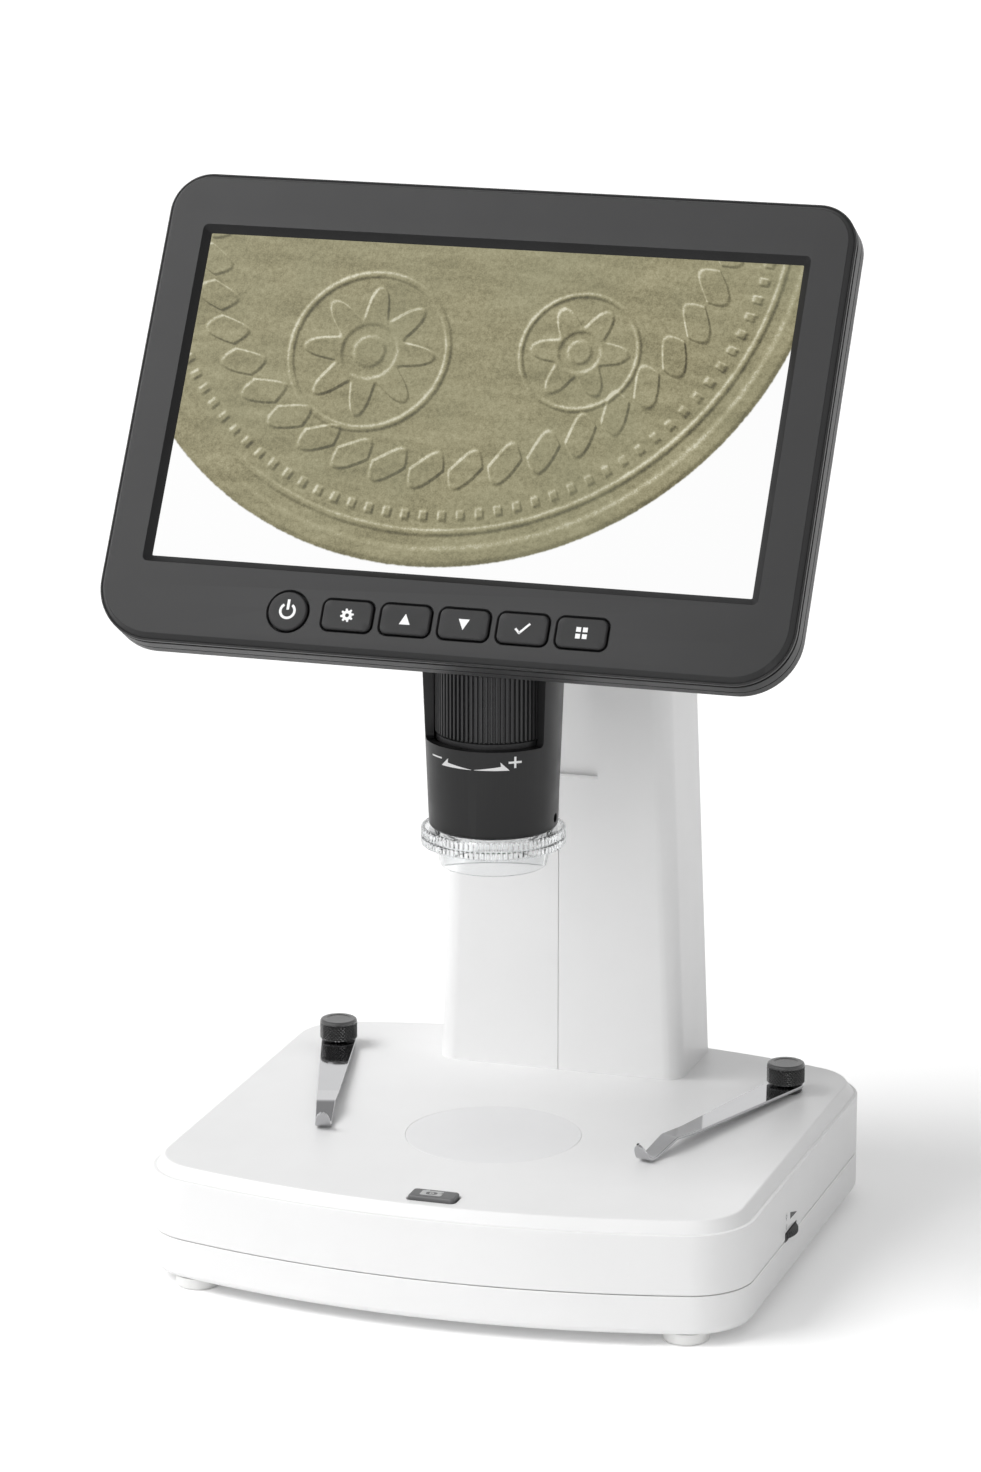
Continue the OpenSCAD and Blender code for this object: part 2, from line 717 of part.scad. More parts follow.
// The openings in front of the sockets
module usb_opening() socket_opening(usb_y, usb_size.y, usb_size.z, usb_size.x);
module card_opening() socket_opening(card_y, card_size.y, card_size.z, card_size.x / 2);

module socket_opening(y, w, h, depth)
  translate([-base_w / 2 - over, y - w / 2 - gap, base_board_z + board_t - gap])
    cube([depth + over, w + 2 * gap, h + 2 * gap]);

module base_bottom_tray() color("white") difference() {
  union() {
    difference() {
      union() {
        translate([0, 0, foot_h + tray_bevel])
          linear_extrude(tray_h - tray_bevel - seam_half) base_outline(0);
        hull() {
          translate([0, 0, foot_h]) linear_extrude(eps) base_outline(tray_bevel);
          translate([0, 0, foot_h + tray_bevel]) linear_extrude(eps) base_outline(0);
        }
        translate([0, 0, floor_z]) linear_extrude(seam_z + lip_h - floor_z) base_outline(base_wall + gap / 2);
      }
      translate([0, 0, floor_z]) linear_extrude(tray_h + lip_h) base_outline(base_wall + gap / 2 + lip_t);
    }
    for (p = base_screw_at) translate([p.x, p.y, floor_z - eps])
      cylinder(r = post_r, h = seam_z + lip_h - floor_z + eps);
    board_posts() cylinder(r = board_post_r, h = base_board_z - floor_z + eps, $fn = 24);
  }
  for (p = base_screw_at) translate([p.x, p.y, foot_h - over]) {
    cylinder(r = screw_r + screw_gap, h = tray_h + lip_h + 2 * over);
    cylinder(r = screw_head_r + screw_gap, h = over + screw_head_h + screw_gap);
  }
  for (sx = [-1, 1], sy = [-1, 1]) translate([sx * foot_x, sy * foot_y, foot_h - over])
    cylinder(r = foot_plug_r, h = tray_floor + 2 * over);
  brightness_slot();
}

module board_posts() {
  in = board_post_inset;
  b = base_board_box;
  for (x = [b[0].x + in, b[1].x - in], y = [b[0].y + in, b[1].y - in])
    translate([x, y, floor_z - eps]) children();
}

module foot(sx, sy) color("gainsboro") translate([sx * foot_x, sy * foot_y, 0]) rotate_extrude() polygon([
  [0, 0], [foot_r - foot_bevel, 0], [foot_r, foot_bevel], [foot_r, foot_h],
  [foot_plug_r, foot_h], [foot_plug_r, floor_z], [0, floor_z]]);

module foot_front_left() foot(-1, -1);
module foot_front_right() foot(1, -1);
module foot_rear_left() foot(-1, 1);
module foot_rear_right() foot(1, 1);

module base_screws() color("silver") {
  head_z = foot_h + screw_head_h + screw_gap;
  for (p = base_screw_at) translate([p.x, p.y, head_z])
    screw(screw_r, plate_z - head_z - pilot_depth - screw_short, screw_head_r, screw_head_h);
}

module stage_diffuser() color("ghostwhite") translate([0, rest_y, base_top - disc_t])
  cylinder(r = disc_r, h = disc_t);

module stage_led_board() color("darkgreen") translate([0, rest_y, led_board_z]) {
  cylinder(r = disc_r + well_wall, h = board_t);
  for (i = [0:7]) rotate(i * 45) translate([stage_led_r, 0, board_t - eps]) led();
  translate([0, 0, board_t - eps]) led();
}

module led() translate([-led_w / 2, -led_w / 2, 0]) cube([led_w, led_w, led_h]);

module base_board() color("seagreen") {
  b = base_board_box;
  size = b[1] - b[0];
  translate([b[0].x, b[0].y, base_board_z]) cube([size.x, size.y, board_t]);
  translate([b[1].x - chip_size.x - chip_inset.x, b[0].y + chip_inset.y, base_board_z + board_t])
    cube(chip_size);
  translate([b[0].x + chip_inset.y, b[0].y + chip_inset.y, base_board_z + board_t]) cube(plug_size);
}

module battery_pack() color("cornflowerblue")
  translate([battery_right - battery_size.x, battery_front, floor_z]) {
    cube(battery_size);
    translate([battery_tab.x / 2, battery_size.y - eps, 1]) cube(battery_tab);
  }

module usb_port() color("silver") socket(usb_y, usb_size, 0.5, 1.4);
module card_slot() color("silver") socket(card_y, card_size, 0.4, 1);

// A metal socket of the given wall, open to the left
module socket(y, size, wall, back)
  translate([-base_w / 2 + port_inset, y - size.y / 2, base_board_z + board_t]) difference() {
    cube(size);
    translate([-over, wall, wall]) cube([over + size.x - back, size.y - 2 * wall, size.z - 2 * wall]);
  }

module switch_on_board(w) translate([0, 0, board_t]) {
  translate([-w / 2, -w / 2, 0]) cube([w, w, switch_body_h]);
  cylinder(r = w / 4, h = switch_body_h + switch_pin_h, $fn = 24);
}

module snapshot_switch() color("darkolivegreen") translate([snap_x, snap_y, snap_board_z]) {
  translate([-snap_board_w / 2, -snap_board_d / 2, 0]) cube([snap_board_w, snap_board_d, board_t]);
  switch_on_board(switch_w);
}

module snapshot_button() color("dimgray") translate([snap_x, snap_y, snap_foot_z]) {
  h = base_top - snap_foot_z + snap_proud;
  round_block(snap_w + 2 * snap_flange, snap_d + 2 * snap_flange, snap_flange, snap_round);
  hull() {
    round_block(snap_w, snap_d, h - snap_bevel, snap_round);
    translate([0, 0, h - eps])
      round_block(snap_w - 2 * snap_bevel, snap_d - 2 * snap_bevel, eps, snap_round - snap_bevel);
  }
}

module brightness_pot() color("darkgray") translate([dim_x, dim_y, floor_z]) {
  translate([-pot_w / 2, -pot_w / 2, 0]) cube([pot_w, pot_w, dim_z - gap - floor_z]);
  cylinder(r = dim_shaft_r, h = dim_z + dim_t - floor_z, $fn = 32);
}

module brightness_wheel() color("black") translate([dim_x, dim_y, dim_z]) difference() {
  toothed_disc(dim_r, dim_tooth, dim_teeth, dim_t);
  translate([0, 0, -over]) cylinder(r = dim_shaft_r + run_gap, h = dim_t + 2 * over, $fn = 32);
}

// ---------- stage clips ----------

module at_pivot(s) translate([s * pivot_x, pivot_y, 0]) children();

module clip_inserts() color("goldenrod") for (s = [-1, 1]) at_pivot(s)
  translate([0, 0, base_top - insert_len + pilot_depth]) difference() {
    cylinder(r = insert_r, h = collar_z - base_top + insert_len - pilot_depth);
    translate([0, 0, -over]) cylinder(r = stem_hole, h = insert_len + 2 * over + clip_lift);
  }

// Side view of a clip: x along the clip, y up; a flat strip, a knee, a foot and an upturned tip
module clip_profile() {
  knee = clip_len - clip_knee;
  foot = base_top + gap;
  knee_z = clip_bottom + clip_rise;
  low = [[-clip_w / 2 - over, clip_bottom], [0, clip_bottom],
    [knee - 2, knee_z - 0.1], [knee, knee_z], [knee + 2, knee_z - 0.5],
    [clip_len - 2.4, foot + 0.5], [clip_len - 1, foot], [clip_len + 0.6, foot], [clip_len + 2.2, foot + 0.9],
    [clip_len + 4.8, foot + clip_curl]];
  n = len(low) - 1;
  along = [for (i = [0:n]) low[min(i + 1, n)] - low[max(i - 1, 0)]];
  top = [for (i = [n:-1:0]) low[i] + clip_t * [-along[i].y, along[i].x] / norm(along[i])];
  polygon(concat(low, top));
}

// Plan of a clip: a round end at the pivot and a long taper to a rounded tip
module clip_plan() {
  circle(clip_w / 2);
  end = clip_len + clip_past - clip_tip_w / 2;
  polygon([[0, -clip_w / 2], [end, -clip_tip_w / 2], [end, clip_tip_w / 2], [0, clip_w / 2]]);
  translate([end, 0]) circle(clip_tip_w / 2);
}

module clip(s) color("silver") at_pivot(s) rotate(-90 - s * clip_angle) difference() {
  intersection() {
    linear_extrude(clip_bottom + 2 * clip_curl) clip_plan();
    rotate([90, 0, 0]) linear_extrude(2 * clip_w, center = true) clip_profile();
  }
  translate([0, 0, clip_bottom - over]) cylinder(r = stem_hole, h = clip_t + 2 * over, $fn = 48);
}

module clip_left() clip(-1);
module clip_right() clip(1);

module clip_knob(s) color("black") at_pivot(s) {
  stem_z = base_top - insert_len + 2 * pilot_depth;
  rim = knob_r - knob_tooth;
  translate([0, 0, knob_z + knob_bevel]) toothed_disc(knob_r, knob_tooth, knob_ribs, knob_h - 2 * knob_bevel);
  translate([0, 0, knob_z]) cylinder(r1 = knob_r - knob_bevel, r2 = rim, h = knob_bevel + eps);
  translate([0, 0, knob_z + knob_h - knob_bevel - eps])
    cylinder(r1 = rim, r2 = knob_r - knob_bevel, h = knob_bevel + eps);
  translate([0, 0, stem_z]) cylinder(r = stem_r, h = knob_z - stem_z + pilot_depth);
}

module clip_knob_left() clip_knob(-1);
module clip_knob_right() clip_knob(1);

// ---------- column ----------

// Tapered column body, drawn in by d and made longer by ext at both ends
module column_body(d, ext, z0, z1) hull()
  for (z = [z0 - ext, z1 + ext - eps], sx = [-1, 1], y = [col_front + col_edge_r, col_rear - col_edge_r])
    translate([sx * (col_half_at(z) - col_edge_r), y, z]) cylinder(r = col_edge_r - d, h = eps, $fn = 32);

module column_shell(s) color("white") difference() {
  union() {
    difference() {
      column_body(0, 0, col_z0, shell_top);
      column_body(col_wall, over, col_z0, shell_top);
    }
    intersection() {
      column_body(0, 0, col_z0, shell_top);
      for (p = col_screw_at) translate([p.x, p.y, col_z0 + foot_plate_t])
        cylinder(r = col_boss_r, h = col_boss_h);
    }
  }
  translate([s > 0 ? -2 * col_half : -eps, col_front - over, col_z0 - over])
    cube([2 * col_half + eps, col_d + 2 * over, col_h + 2 * over]);
  translate([-slot_half, col_front - over, slot_z0]) cube([2 * slot_half, col_wall + 2 * over, col_h]);
  for (p = col_screw_at) translate([p.x, p.y, col_z0 - over])
    cylinder(r = screw_r, h = over + foot_plate_t + col_boss_h - pilot_depth);
  translate([-2 * col_half, pinion_y, pinion_z]) rotate([0, 90, 0]) cylinder(r = bush_r, h = 4 * col_half);
}

module column_left_shell() column_shell(-1);
module column_right_shell() column_shell(1);

module column_cap() color("white") difference() {
  union() {
    column_body(0, 0, shell_top, col_top);
    column_body(col_wall + cap_play, 0, shell_top - cap_spigot, shell_top + eps);
  }
  translate([-col_half, col_front + spigot_in, shell_top - cap_spigot - over])
    cube([2 * col_half, col_d - 2 * spigot_in, cap_spigot + over]);
  translate([-slot_half - slot_side, col_front - over, shell_top - cap_spigot - over])
    cube([2 * (slot_half + slot_side), over + spigot_in + over, cap_spigot + over]);
  for (s = [-1, 1]) translate([s * rod_x, rod_y, shell_top - over]) cylinder(r = rod_r, h = over + cap_t / 2);
}

module column_base_plate() color("lightsteelblue") difference() {
  union() {
    translate([plate_side - col_half, col_front + plate_end, col_z0])
      cube([2 * (col_half - plate_side), col_d - 2 * plate_end, foot_plate_t]);
    for (s = [-1, 1]) translate([s * rod_x, rod_y, col_z0]) cylinder(r = rod_r + rod_boss_t, h = rod_boss_h);
  }
  for (s = [-1, 1]) translate([s * rod_x, rod_y, col_z0 + pilot_depth]) cylinder(r = rod_r, h = rod_boss_h);
  for (p = col_screw_at) translate([p.x, p.y, col_z0 - over])
    cylinder(r = screw_r + gap, h = foot_plate_t + 2 * over);
}

module column_screws() color("silver") for (p = col_screw_at) translate([p.x, p.y, plate_z])
  screw(screw_r, cover_t + foot_plate_t + col_boss_h - 2 * pilot_depth, screw_head_r, screw_head_h);

module guide_rods() color("lightgray") for (s = [-1, 1]) translate([s * rod_x, rod_y, col_z0 + pilot_depth])
  cylinder(r = rod_r, h = shell_top + cap_t / 2 - col_z0 - pilot_depth);

// Children stand at the pinion's axis, turned to the left or the right
module at_shaft(s) translate([0, pinion_y, pinion_z]) rotate([0, s * 90, 0]) children();

module shaft_bushes() color("darkgoldenrod") for (s = [-1, 1]) at_shaft(s) difference() {
  union() {
    translate([0, 0, bush_x]) cylinder(r = bush_r, h = shaft_wall_x + bush_out - bush_x);
    translate([0, 0, bush_x]) cylinder(r = bush_r + bush_rim, h = bush_rim);
  }
  cylinder(r = shaft_r + run_gap, h = 2 * col_half);
}

// ---------- height drive ----------

function inv(a) = tan(a) * 180 / PI - a;

module pinion(w) {
  root_r = pitch_r - dedendum;
  tip_r = pitch_r + addendum;
  base_r = pitch_r * cos(pressure);
  half = tooth_thick / (2 * pitch_r) * 180 / PI + inv(pressure);
  steps = 5;
  radii = [for (i = [0:steps]) base_r + (tip_r - base_r) * i / steps];
  flank = concat([[root_r, half]], [for (q = radii) [q, half - inv(acos(base_r / q))]]);
  tooth = concat([for (p = flank) [p[0], -p[1]]], [for (i = [len(flank) - 1:-1:0]) flank[i]]);
  linear_extrude(w, center = true) polygon([for (t = [0:pinion_teeth - 1], p = tooth)
    let (a = t * 360 / pinion_teeth + p[1]) p[0] * [cos(a), sin(a)]]);
}

// The pinion has a space towards the rack, where the rack has a tooth
module pinion_shaft() color("steelblue") translate([0, pinion_y, pinion_z]) {
  rotate([90, 0, 90]) rotate(180 + 180 / pinion_teeth) pinion(pinion_w);
  rotate([0, 90, 0]) {
    cylinder(r = shaft_r, h = 2 * (hknob_x0 + hknob_len - hknob_end), center = true);
    for (s = [-1, 1]) translate([0, 0, s * (pinion_w + collar_t) / 2])
      cylinder(r = shaft_r + collar_t / 2, h = collar_t + 2 * eps, center = true);
    for (s = [-1, 1]) translate([0, 0, s * (bush_x - gap - collar_t / 2)])
      cylinder(r = shaft_r + 1.6, h = collar_t, center = true);
  }
}

module height_knob(s) color("dimgray") at_shaft(s) translate([0, 0, hknob_x0]) difference() {
  rim = hknob_r - hknob_tooth;
  union() {
    cylinder(r = hknob_r - hknob_neck_in, h = hknob_neck);
    translate([0, 0, hknob_neck - eps])
      toothed_disc(hknob_r, hknob_tooth, hknob_ribs, hknob_len - hknob_neck - hknob_bevel);
    translate([0, 0, hknob_len - hknob_bevel - eps])
      cylinder(r1 = rim, r2 = rim - hknob_bevel, h = hknob_bevel);
  }
  translate([0, 0, -over]) cylinder(r = shaft_r, h = over + hknob_len - hknob_end);
}

module height_knob_left() height_knob(-1);
module height_knob_right() height_knob(1);

module gear_rack() color("slategray") {
  tip = tooth_thick / 2 - addendum * tan(pressure);
  foot = tooth_thick / 2 + dedendum * tan(pressure);
  below = floor((pinion_z - rack_z0 - foot) / tooth_pitch);
  above = floor((rack_z1 - pinion_z - foot) / tooth_pitch);
  back = carriage_y1;
  tooth = [[-dedendum, -foot], [addendum, -tip], [addendum, tip], [-dedendum, foot]];
  outline = concat([[back, rack_z0], [rack_pitch_y - dedendum, rack_z0]],
    [for (i = [-below:above], p = tooth) [rack_pitch_y + p.x, pinion_z + i * tooth_pitch + p.y]],
    [[rack_pitch_y - dedendum, rack_z1], [back, rack_z1]]);
  translate([-rack_w / 2, 0, 0]) rotate([90, 0, 90]) linear_extrude(rack_w) polygon(outline);
}

module carriage() color("lightslategray") difference() {
  translate([-carriage_half, carriage_y0, rack_z0]) cube([2 * carriage_half, carriage_d, rack_z1 - rack_z0]);
  for (s = [-1, 1]) translate([s * rod_x, rod_y, rack_z0 - over])
    cylinder(r = rod_r + bush_wall, h = rack_z1 - rack_z0 + 2 * over);
}

module carriage_bushes() color("goldenrod") for (s = [-1, 1], z = [rack_z0, rack_z1 - bush_len])
  translate([s * rod_x, rod_y, z]) difference() {
    cylinder(r = rod_r + bush_wall, h = bush_len);
    translate([0, 0, -over]) cylinder(r = rod_r + run_gap, h = bush_len + 2 * over);
  }

module shutter_plate() color("white") difference() {
  translate([-shutter_half, shutter_y, arm_z0 - shutter_drop])
    cube([2 * shutter_half, shutter_t, rack_z1 - arm_z0 + shutter_drop]);
  translate([-arm_half - arm_gap, shutter_y - over, arm_z0 - arm_gap])
    cube([2 * (arm_half + arm_gap), shutter_t + 2 * over, arm_z1 - arm_z0 + 2 * arm_gap]);
}

// ---------- head ----------

module pod_plan(d) {
  translate([0, rest_y]) circle(pod_r - d);
  translate([-pod_r + d, rest_y]) square([2 * (pod_r - d), pod_rear - rest_y - d]);
}

// Space that the screen's back sweeps when the screen stands upright
module screen_space() translate([0, hinge_y, hinge_z]) rotate([90 - tilt + tilt_up, 0, 0])
  translate([-mon_w / 2, -mon_h, hump_gap - head_relief]) cube([mon_w, 1.6 * mon_h, 60]);

module head_housing() color("whitesmoke") difference() {
  union() {
    translate([0, 0, pod_z0]) linear_extrude(pod_h - pod_cover_t) pod_plan(0);
    translate([-arm_half, arm_y0, arm_z0]) cube([2 * arm_half, carriage_y0 - arm_y0, pod_z0 - arm_z0 + eps]);
    translate([-arm_half, pod_rear - pod_wall, pod_z0])
      cube([2 * arm_half, carriage_y0 - pod_rear + pod_wall, arm_z1 - pod_z0]);
    translate([0, rest_y, pod_z0 - sensor_boss_h])
      ring(bore_r - bore_play, bore_r - sensor_boss_t, sensor_boss_h + eps);
  }
  translate([0, 0, pod_z0 + pod_wall]) linear_extrude(pod_h) pod_plan(pod_wall);
  translate([0, rest_y, pod_z0 - over]) cylinder(r = wire_hole_r, h = pod_wall + 2 * over);
  screen_space();
}

module head_cover() color("whitesmoke") difference() {
  union() {
    translate([0, 0, pod_z1 - pod_cover_t]) linear_extrude(pod_cover_t) pod_plan(0);
    translate([0, 0, pod_z1 - 2 * pod_cover_t]) linear_extrude(pod_cover_t + eps) difference() {
      pod_plan(pod_wall + bore_play);
      pod_plan(pod_wall + lip_t);
    }
  }
  screen_space();
}

module ear(r, x0, x1, reach) {
  translate([x0, 0, 0]) rotate([0, 90, 0]) cylinder(r = r, h = x1 - x0);
  translate([x0, -r, -reach]) cube([x1 - x0, 2 * r, reach]);
}

module hinge_mount() color("dimgray") translate([0, hinge_y, hinge_z]) difference() {
  union() {
    translate([-pin_half, -ear_r, -hinge_up])
      cube([2 * pin_half, 2 * ear_r + hinge_plate_more, hinge_plate_t]);
    ear(ear_r, ear_half + hinge_gap, pin_half, hinge_up);
    ear(ear_r, -pin_half, -ear_half - hinge_gap, hinge_up);
  }
  rotate([0, 90, 0]) cylinder(r = pin_r, h = 4 * pin_half, center = true);
}

module hinge_pin() color("silver") translate([0, hinge_y, hinge_z]) rotate([0, 90, 0]) {
  cylinder(r = pin_r, h = 2 * pin_half, center = true);
  for (s = [-1, 1]) translate([0, 0, s * (pin_half + pin_head_t / 2)])
    cylinder(r = pin_r + pin_rim, h = pin_head_t, center = true);
}

function barrel_r_at(z) = barrel_r + barrel_flare * (z - bar_z0) / barrel_len;

module barrel_sleeve() color("#303032") difference() {
  translate([0, rest_y, 0]) rotate_extrude() polygon([
    [mouth_r, bar_z0], [barrel_r - barrel_bevel, bar_z0],
    [barrel_r_at(bar_z0 + barrel_bevel), bar_z0 + barrel_bevel], [barrel_r_at(bar_z1), bar_z1],
    [bore_r, bar_z1], [bore_r, shelf_z1], [shelf_r, shelf_z1], [shelf_r, shelf_z0], [mouth_r, shelf_z0]]);
  translate([0, rest_y, sill_z]) linear_extrude(window_h) polygon(concat([[0, 0]],
    arc([0, 0], barrel_r + barrel_flare + 8, 270 - window_half, 270 + window_half, 8)));
}

module sensor_board() color("darkgreen") translate([0, rest_y, sensor_z]) {
  cylinder(r = bore_r - bore_play, h = sensor_board_t);
  translate([-sensor_w / 2, -sensor_w / 2, -sensor_t]) cube([sensor_w, sensor_w, sensor_t + eps]);
}

module led_ring_board() color("darkgreen") translate([0, rest_y, led_ring_z]) {
  ring(mouth_r - bore_play, led_ring_bore, led_ring_t);
  for (i = [0:led_count - 1]) rotate(i * 360 / led_count) translate([lamp_place_r, 0, -led_h])
    cylinder(r = lamp_r, h = led_h + eps, $fn = 24);
}

module focus_wheel() color("#1a1a1c") translate([0, rest_y, 0]) difference() {
  union() {
    translate([0, 0, focus_z0]) cylinder(r = focus_r - rib_d / 2, h = focus_rib_z0 - focus_z0);
    translate([0, 0, focus_rib_z0 - eps]) toothed_disc(focus_r, rib_d, focus_ribs, focus_z1 - focus_rib_z0);
  }
  translate([0, 0, focus_z0 - over]) cylinder(r = focus_bore, h = focus_z1 - focus_z0 + 2 * over);
}

module lens_carrier() color("#404044") translate([0, rest_y, 0]) rotate_extrude() polygon([
  [lens_r - lens_lip, nose_z0], [nose_r, nose_z0], [nose_r, carrier_z0], [carrier_r, carrier_z0],
  [carrier_r, carrier_z0 + carrier_h], [carrier_r - carrier_wall, carrier_z0 + carrier_h],
  [carrier_r - carrier_wall, carrier_z0 + carrier_wall], [lens_r, carrier_z0 + carrier_wall],
  [lens_r, nose_z0 + lens_seat], [lens_r - lens_lip, nose_z0 + lens_seat]]);

module objective_lens() color("lightcyan", 0.6) translate([0, rest_y, nose_z0 + lens_seat])
  cylinder(r = lens_r, h = lens_t, $fn = 48);

module light_shroud() color("azure", 0.35) translate([0, rest_y, 0]) {
  rim_z1 = bar_z0 - gap;
  rim_z0 = rim_z1 - rim_h;
  in_r = cup_end_r - cup_wall;
  difference() {
    translate([0, 0, rim_z0]) toothed_disc(rim_r, rim_tooth, rim_teeth, rim_h);
    translate([0, 0, rim_z0 - over]) cylinder(r = in_r, h = rim_h + 2 * over);
  }
  translate([0, 0, rim_z1 - eps]) ring(mouth_r - gap / 2, in_r, spigot_h + eps);
  rotate_extrude() polygon([
    [in_r, rim_z0 + eps], [cup_r, rim_z0 + eps], [cup_end_r, rim_z0 - cup_h], [in_r, rim_z0 - cup_h]]);
}

// ---------- screen ----------

// Frame of the screen: its origin is the middle of the picture's surface
module on_screen() translate([0, hinge_y, hinge_z]) rotate([90 - tilt, 0, 0])
  translate([0, hinge_low, hinge_off]) children();

// Outline of the screen housing, drawn in by d on all sides
module mon_outline(d) translate([0, -mon_drop]) round_rect(mon_w - 2 * d, mon_h - 2 * d, mon_corner_r - d);

module mon_slice(d, z) translate([0, 0, z]) linear_extrude(eps) mon_outline(d, $fn = 40);

module mon_prism(d, z0, z1) translate([0, 0, z0]) linear_extrude(z1 - z0) mon_outline(d);

module key_posts() for (sx = [-1, 1], sy = [-1, 1])
  translate([sx * key_board_post_x, sy * key_board_post_y - key_low, 0]) children();

module screen_bezel() color("#47474a") on_screen() difference() {
  union() {
    difference() {
      union() {
        mon_prism(0, -bezel_d, 0);
        hull() {
          mon_slice(0, -eps);
          mon_slice(mon_bevel, plate_t - eps);
        }
      }
      mon_prism(mon_wall, -bezel_d - over, 0);
      groove_band(-mon_groove_z - mon_groove_w, -mon_groove_z);
    }
    for (p = mon_screw_at) translate([p.x, p.y, -bezel_d]) cylinder(r = mon_boss_r, h = bezel_d + eps);
    key_posts() translate([0, 0, key_board_z + board_t])
      cylinder(r = key_post_r, h = eps - key_board_z - board_t, $fn = 24);
  }
  hull() {
    cube([lcd_w, lcd_h, 2 * eps], center = true);
    translate([0, 0, plate_t + eps])
      cube([lcd_w + 2 * lcd_bevel, lcd_h + 2 * lcd_bevel, 2 * eps], center = true);
  }
  for (i = [0:4]) translate([key_x(i), -key_low, -over])
    round_block(key_w + 2 * gap, key_h + 2 * gap, plate_t + 2 * over, key_round + gap);
  translate([power_x, -key_low, -over]) cylinder(r = power_r + gap, h = plate_t + 2 * over);
  for (p = mon_screw_at) translate([p.x, p.y, -bezel_d - over])
    cylinder(r = mon_screw_r, h = bezel_d + over - mon_screw_end, $fn = 32);
}

// A shallow groove round the side of the bezel
module groove_band(z0, z1) difference() {
  translate([-mon_w, -mon_h, z0]) cube([2 * mon_w, 2 * mon_h, z1 - z0]);
  mon_prism(mon_groove, z0 - over, z1 + over);
}

module display_panel() color("ghostwhite") on_screen() translate([0, 0, -lcd_t / 2])
  cube([lcd_w + 2 * lcd_border, lcd_h + lcd_border, lcd_t], center = true);

module key_board() color("darkgreen") on_screen() translate([0, -key_low, key_board_z]) {
  translate([-key_board_w / 2, -key_board_h / 2, 0]) cube([key_board_w, key_board_h, board_t]);
  for (x = concat([power_x], [for (i = [0:4]) key_x(i)])) translate([x, 0, 0]) switch_on_board(switch_w);
}

module driver_board() color("seagreen") on_screen() {
  translate([-driver_size.x / 2, driver_y - driver_size.y / 2, driver_z - board_t])
    cube([driver_size.x, driver_size.y, board_t]);
  translate([0, driver_y, driver_z - board_t - driver_chip.z / 2])
    cube(driver_chip + [0, 0, eps], center = true);
  translate([driver_size.x / 4, driver_y, driver_z - board_t - memory_chip.z / 2])
    cube(memory_chip + [0, 0, eps], center = true);
}

module screen_rear_shell() color("#3c3c3f") on_screen() {
  back = plate_back();
  hump_mid = hump_y0 + hump_h / 2;
  difference() {
    union() {
      difference() {
        union() {
          mon_prism(0, -back + rear_round, -bezel_d - mon_seam);
          hull() {
            mon_slice(rear_round, -back);
            mon_slice(0, -back + rear_round);
          }
          hump(0, hump_back, hump_mid);
        }
        mon_prism(mon_wall, -back + mon_wall, -bezel_d + over);
        hump(mon_wall, hump_back - mon_wall, hump_mid);
      }
      for (p = mon_screw_at) translate([p.x, p.y, over - back])
        cylinder(r = mon_boss_r, h = back - over - bezel_d - mon_seam);
      for (p = driver_post_at) translate([p.x, driver_y + p.y, -hump_back + mon_wall - eps])
        cylinder(r = driver_post_r, h = hump_back - mon_wall + driver_z - board_t + eps, $fn = 32);
    }
    for (p = mon_screw_at) translate([p.x, p.y, -back - over]) {
      cylinder(r = mon_screw_r + screw_gap / 2, h = back + over, $fn = 32);
      cylinder(r = mon_screw_r + mon_screw_rim + screw_gap, h = over + mon_screw_sink, $fn = 32);
    }
    for (p = bracket_screws()) translate([p.x, p.y, -hump_back - over])
      cylinder(r = mon_screw_r, h = over + mon_wall + over, $fn = 32);
  }
}

module hump(d, depth, mid) translate([0, mid, 0]) hull() {
  in = hump_draft + d;
  translate([0, 0, -depth]) linear_extrude(eps)
    round_rect(hump_w - 2 * in, hump_h - 2 * in, hump_round - in, $fn = 32);
  translate([0, 0, rear_round - plate_back()]) linear_extrude(eps)
    round_rect(hump_w - 2 * d, hump_h - 2 * d, hump_round - d, $fn = 32);
}

function bracket_screws() = [for (sx = [-1, 1], sy = [-1, 1])
  [sx * bracket_screw_in, sy * bracket_screw_in - hinge_low]];

module screen_bracket() color("dimgray") on_screen() difference() {
  union() {
    translate([-ear_half, -hinge_low - bracket_half, -hump_back - hinge_plate_t])
      cube([2 * ear_half, 2 * bracket_half, hinge_plate_t]);
    for (s = [-1, 1]) translate([s > 0 ? ear_half - ear_t : -ear_half, -hinge_low, -hinge_off]) {
      rotate([0, 90, 0]) cylinder(r = ear_r, h = ear_t);
      translate([0, -ear_r, 0]) cube([ear_t, 2 * ear_r, hump_gap]);
    }
  }
  translate([0, -hinge_low, -hinge_off]) rotate([0, 90, 0])
    cylinder(r = pin_r + run_gap, h = 4 * ear_half, center = true);
  for (p = bracket_screws()) translate([p.x, p.y, -hump_back - hinge_plate_t - over])
    cylinder(r = mon_screw_r, h = hinge_plate_t + 2 * over, $fn = 32);
}

module screen_screws() color("silver") on_screen() {
  head_r = mon_screw_r + mon_screw_rim;
  for (p = mon_screw_at) translate([p.x, p.y, mon_screw_sink - plate_back()])
    screw(mon_screw_r, plate_back() - mon_screw_sink - pilot_depth, head_r, mon_screw_sink / 2, $fn = 32);
  for (p = bracket_screws()) translate([p.x, p.y, -hump_back - hinge_plate_t])
    screw(mon_screw_r, hinge_plate_t + mon_wall, head_r, mon_screw_rim, $fn = 32);
}

module key_body(w, h, r) {
  translate([0, 0, key_foot])
    round_block(w + 2 * key_flange, h + 2 * key_flange, key_flange_t, r + key_flange);
  translate([0, 0, key_foot]) round_block(w, h, plate_t + key_proud - key_foot, r);
}

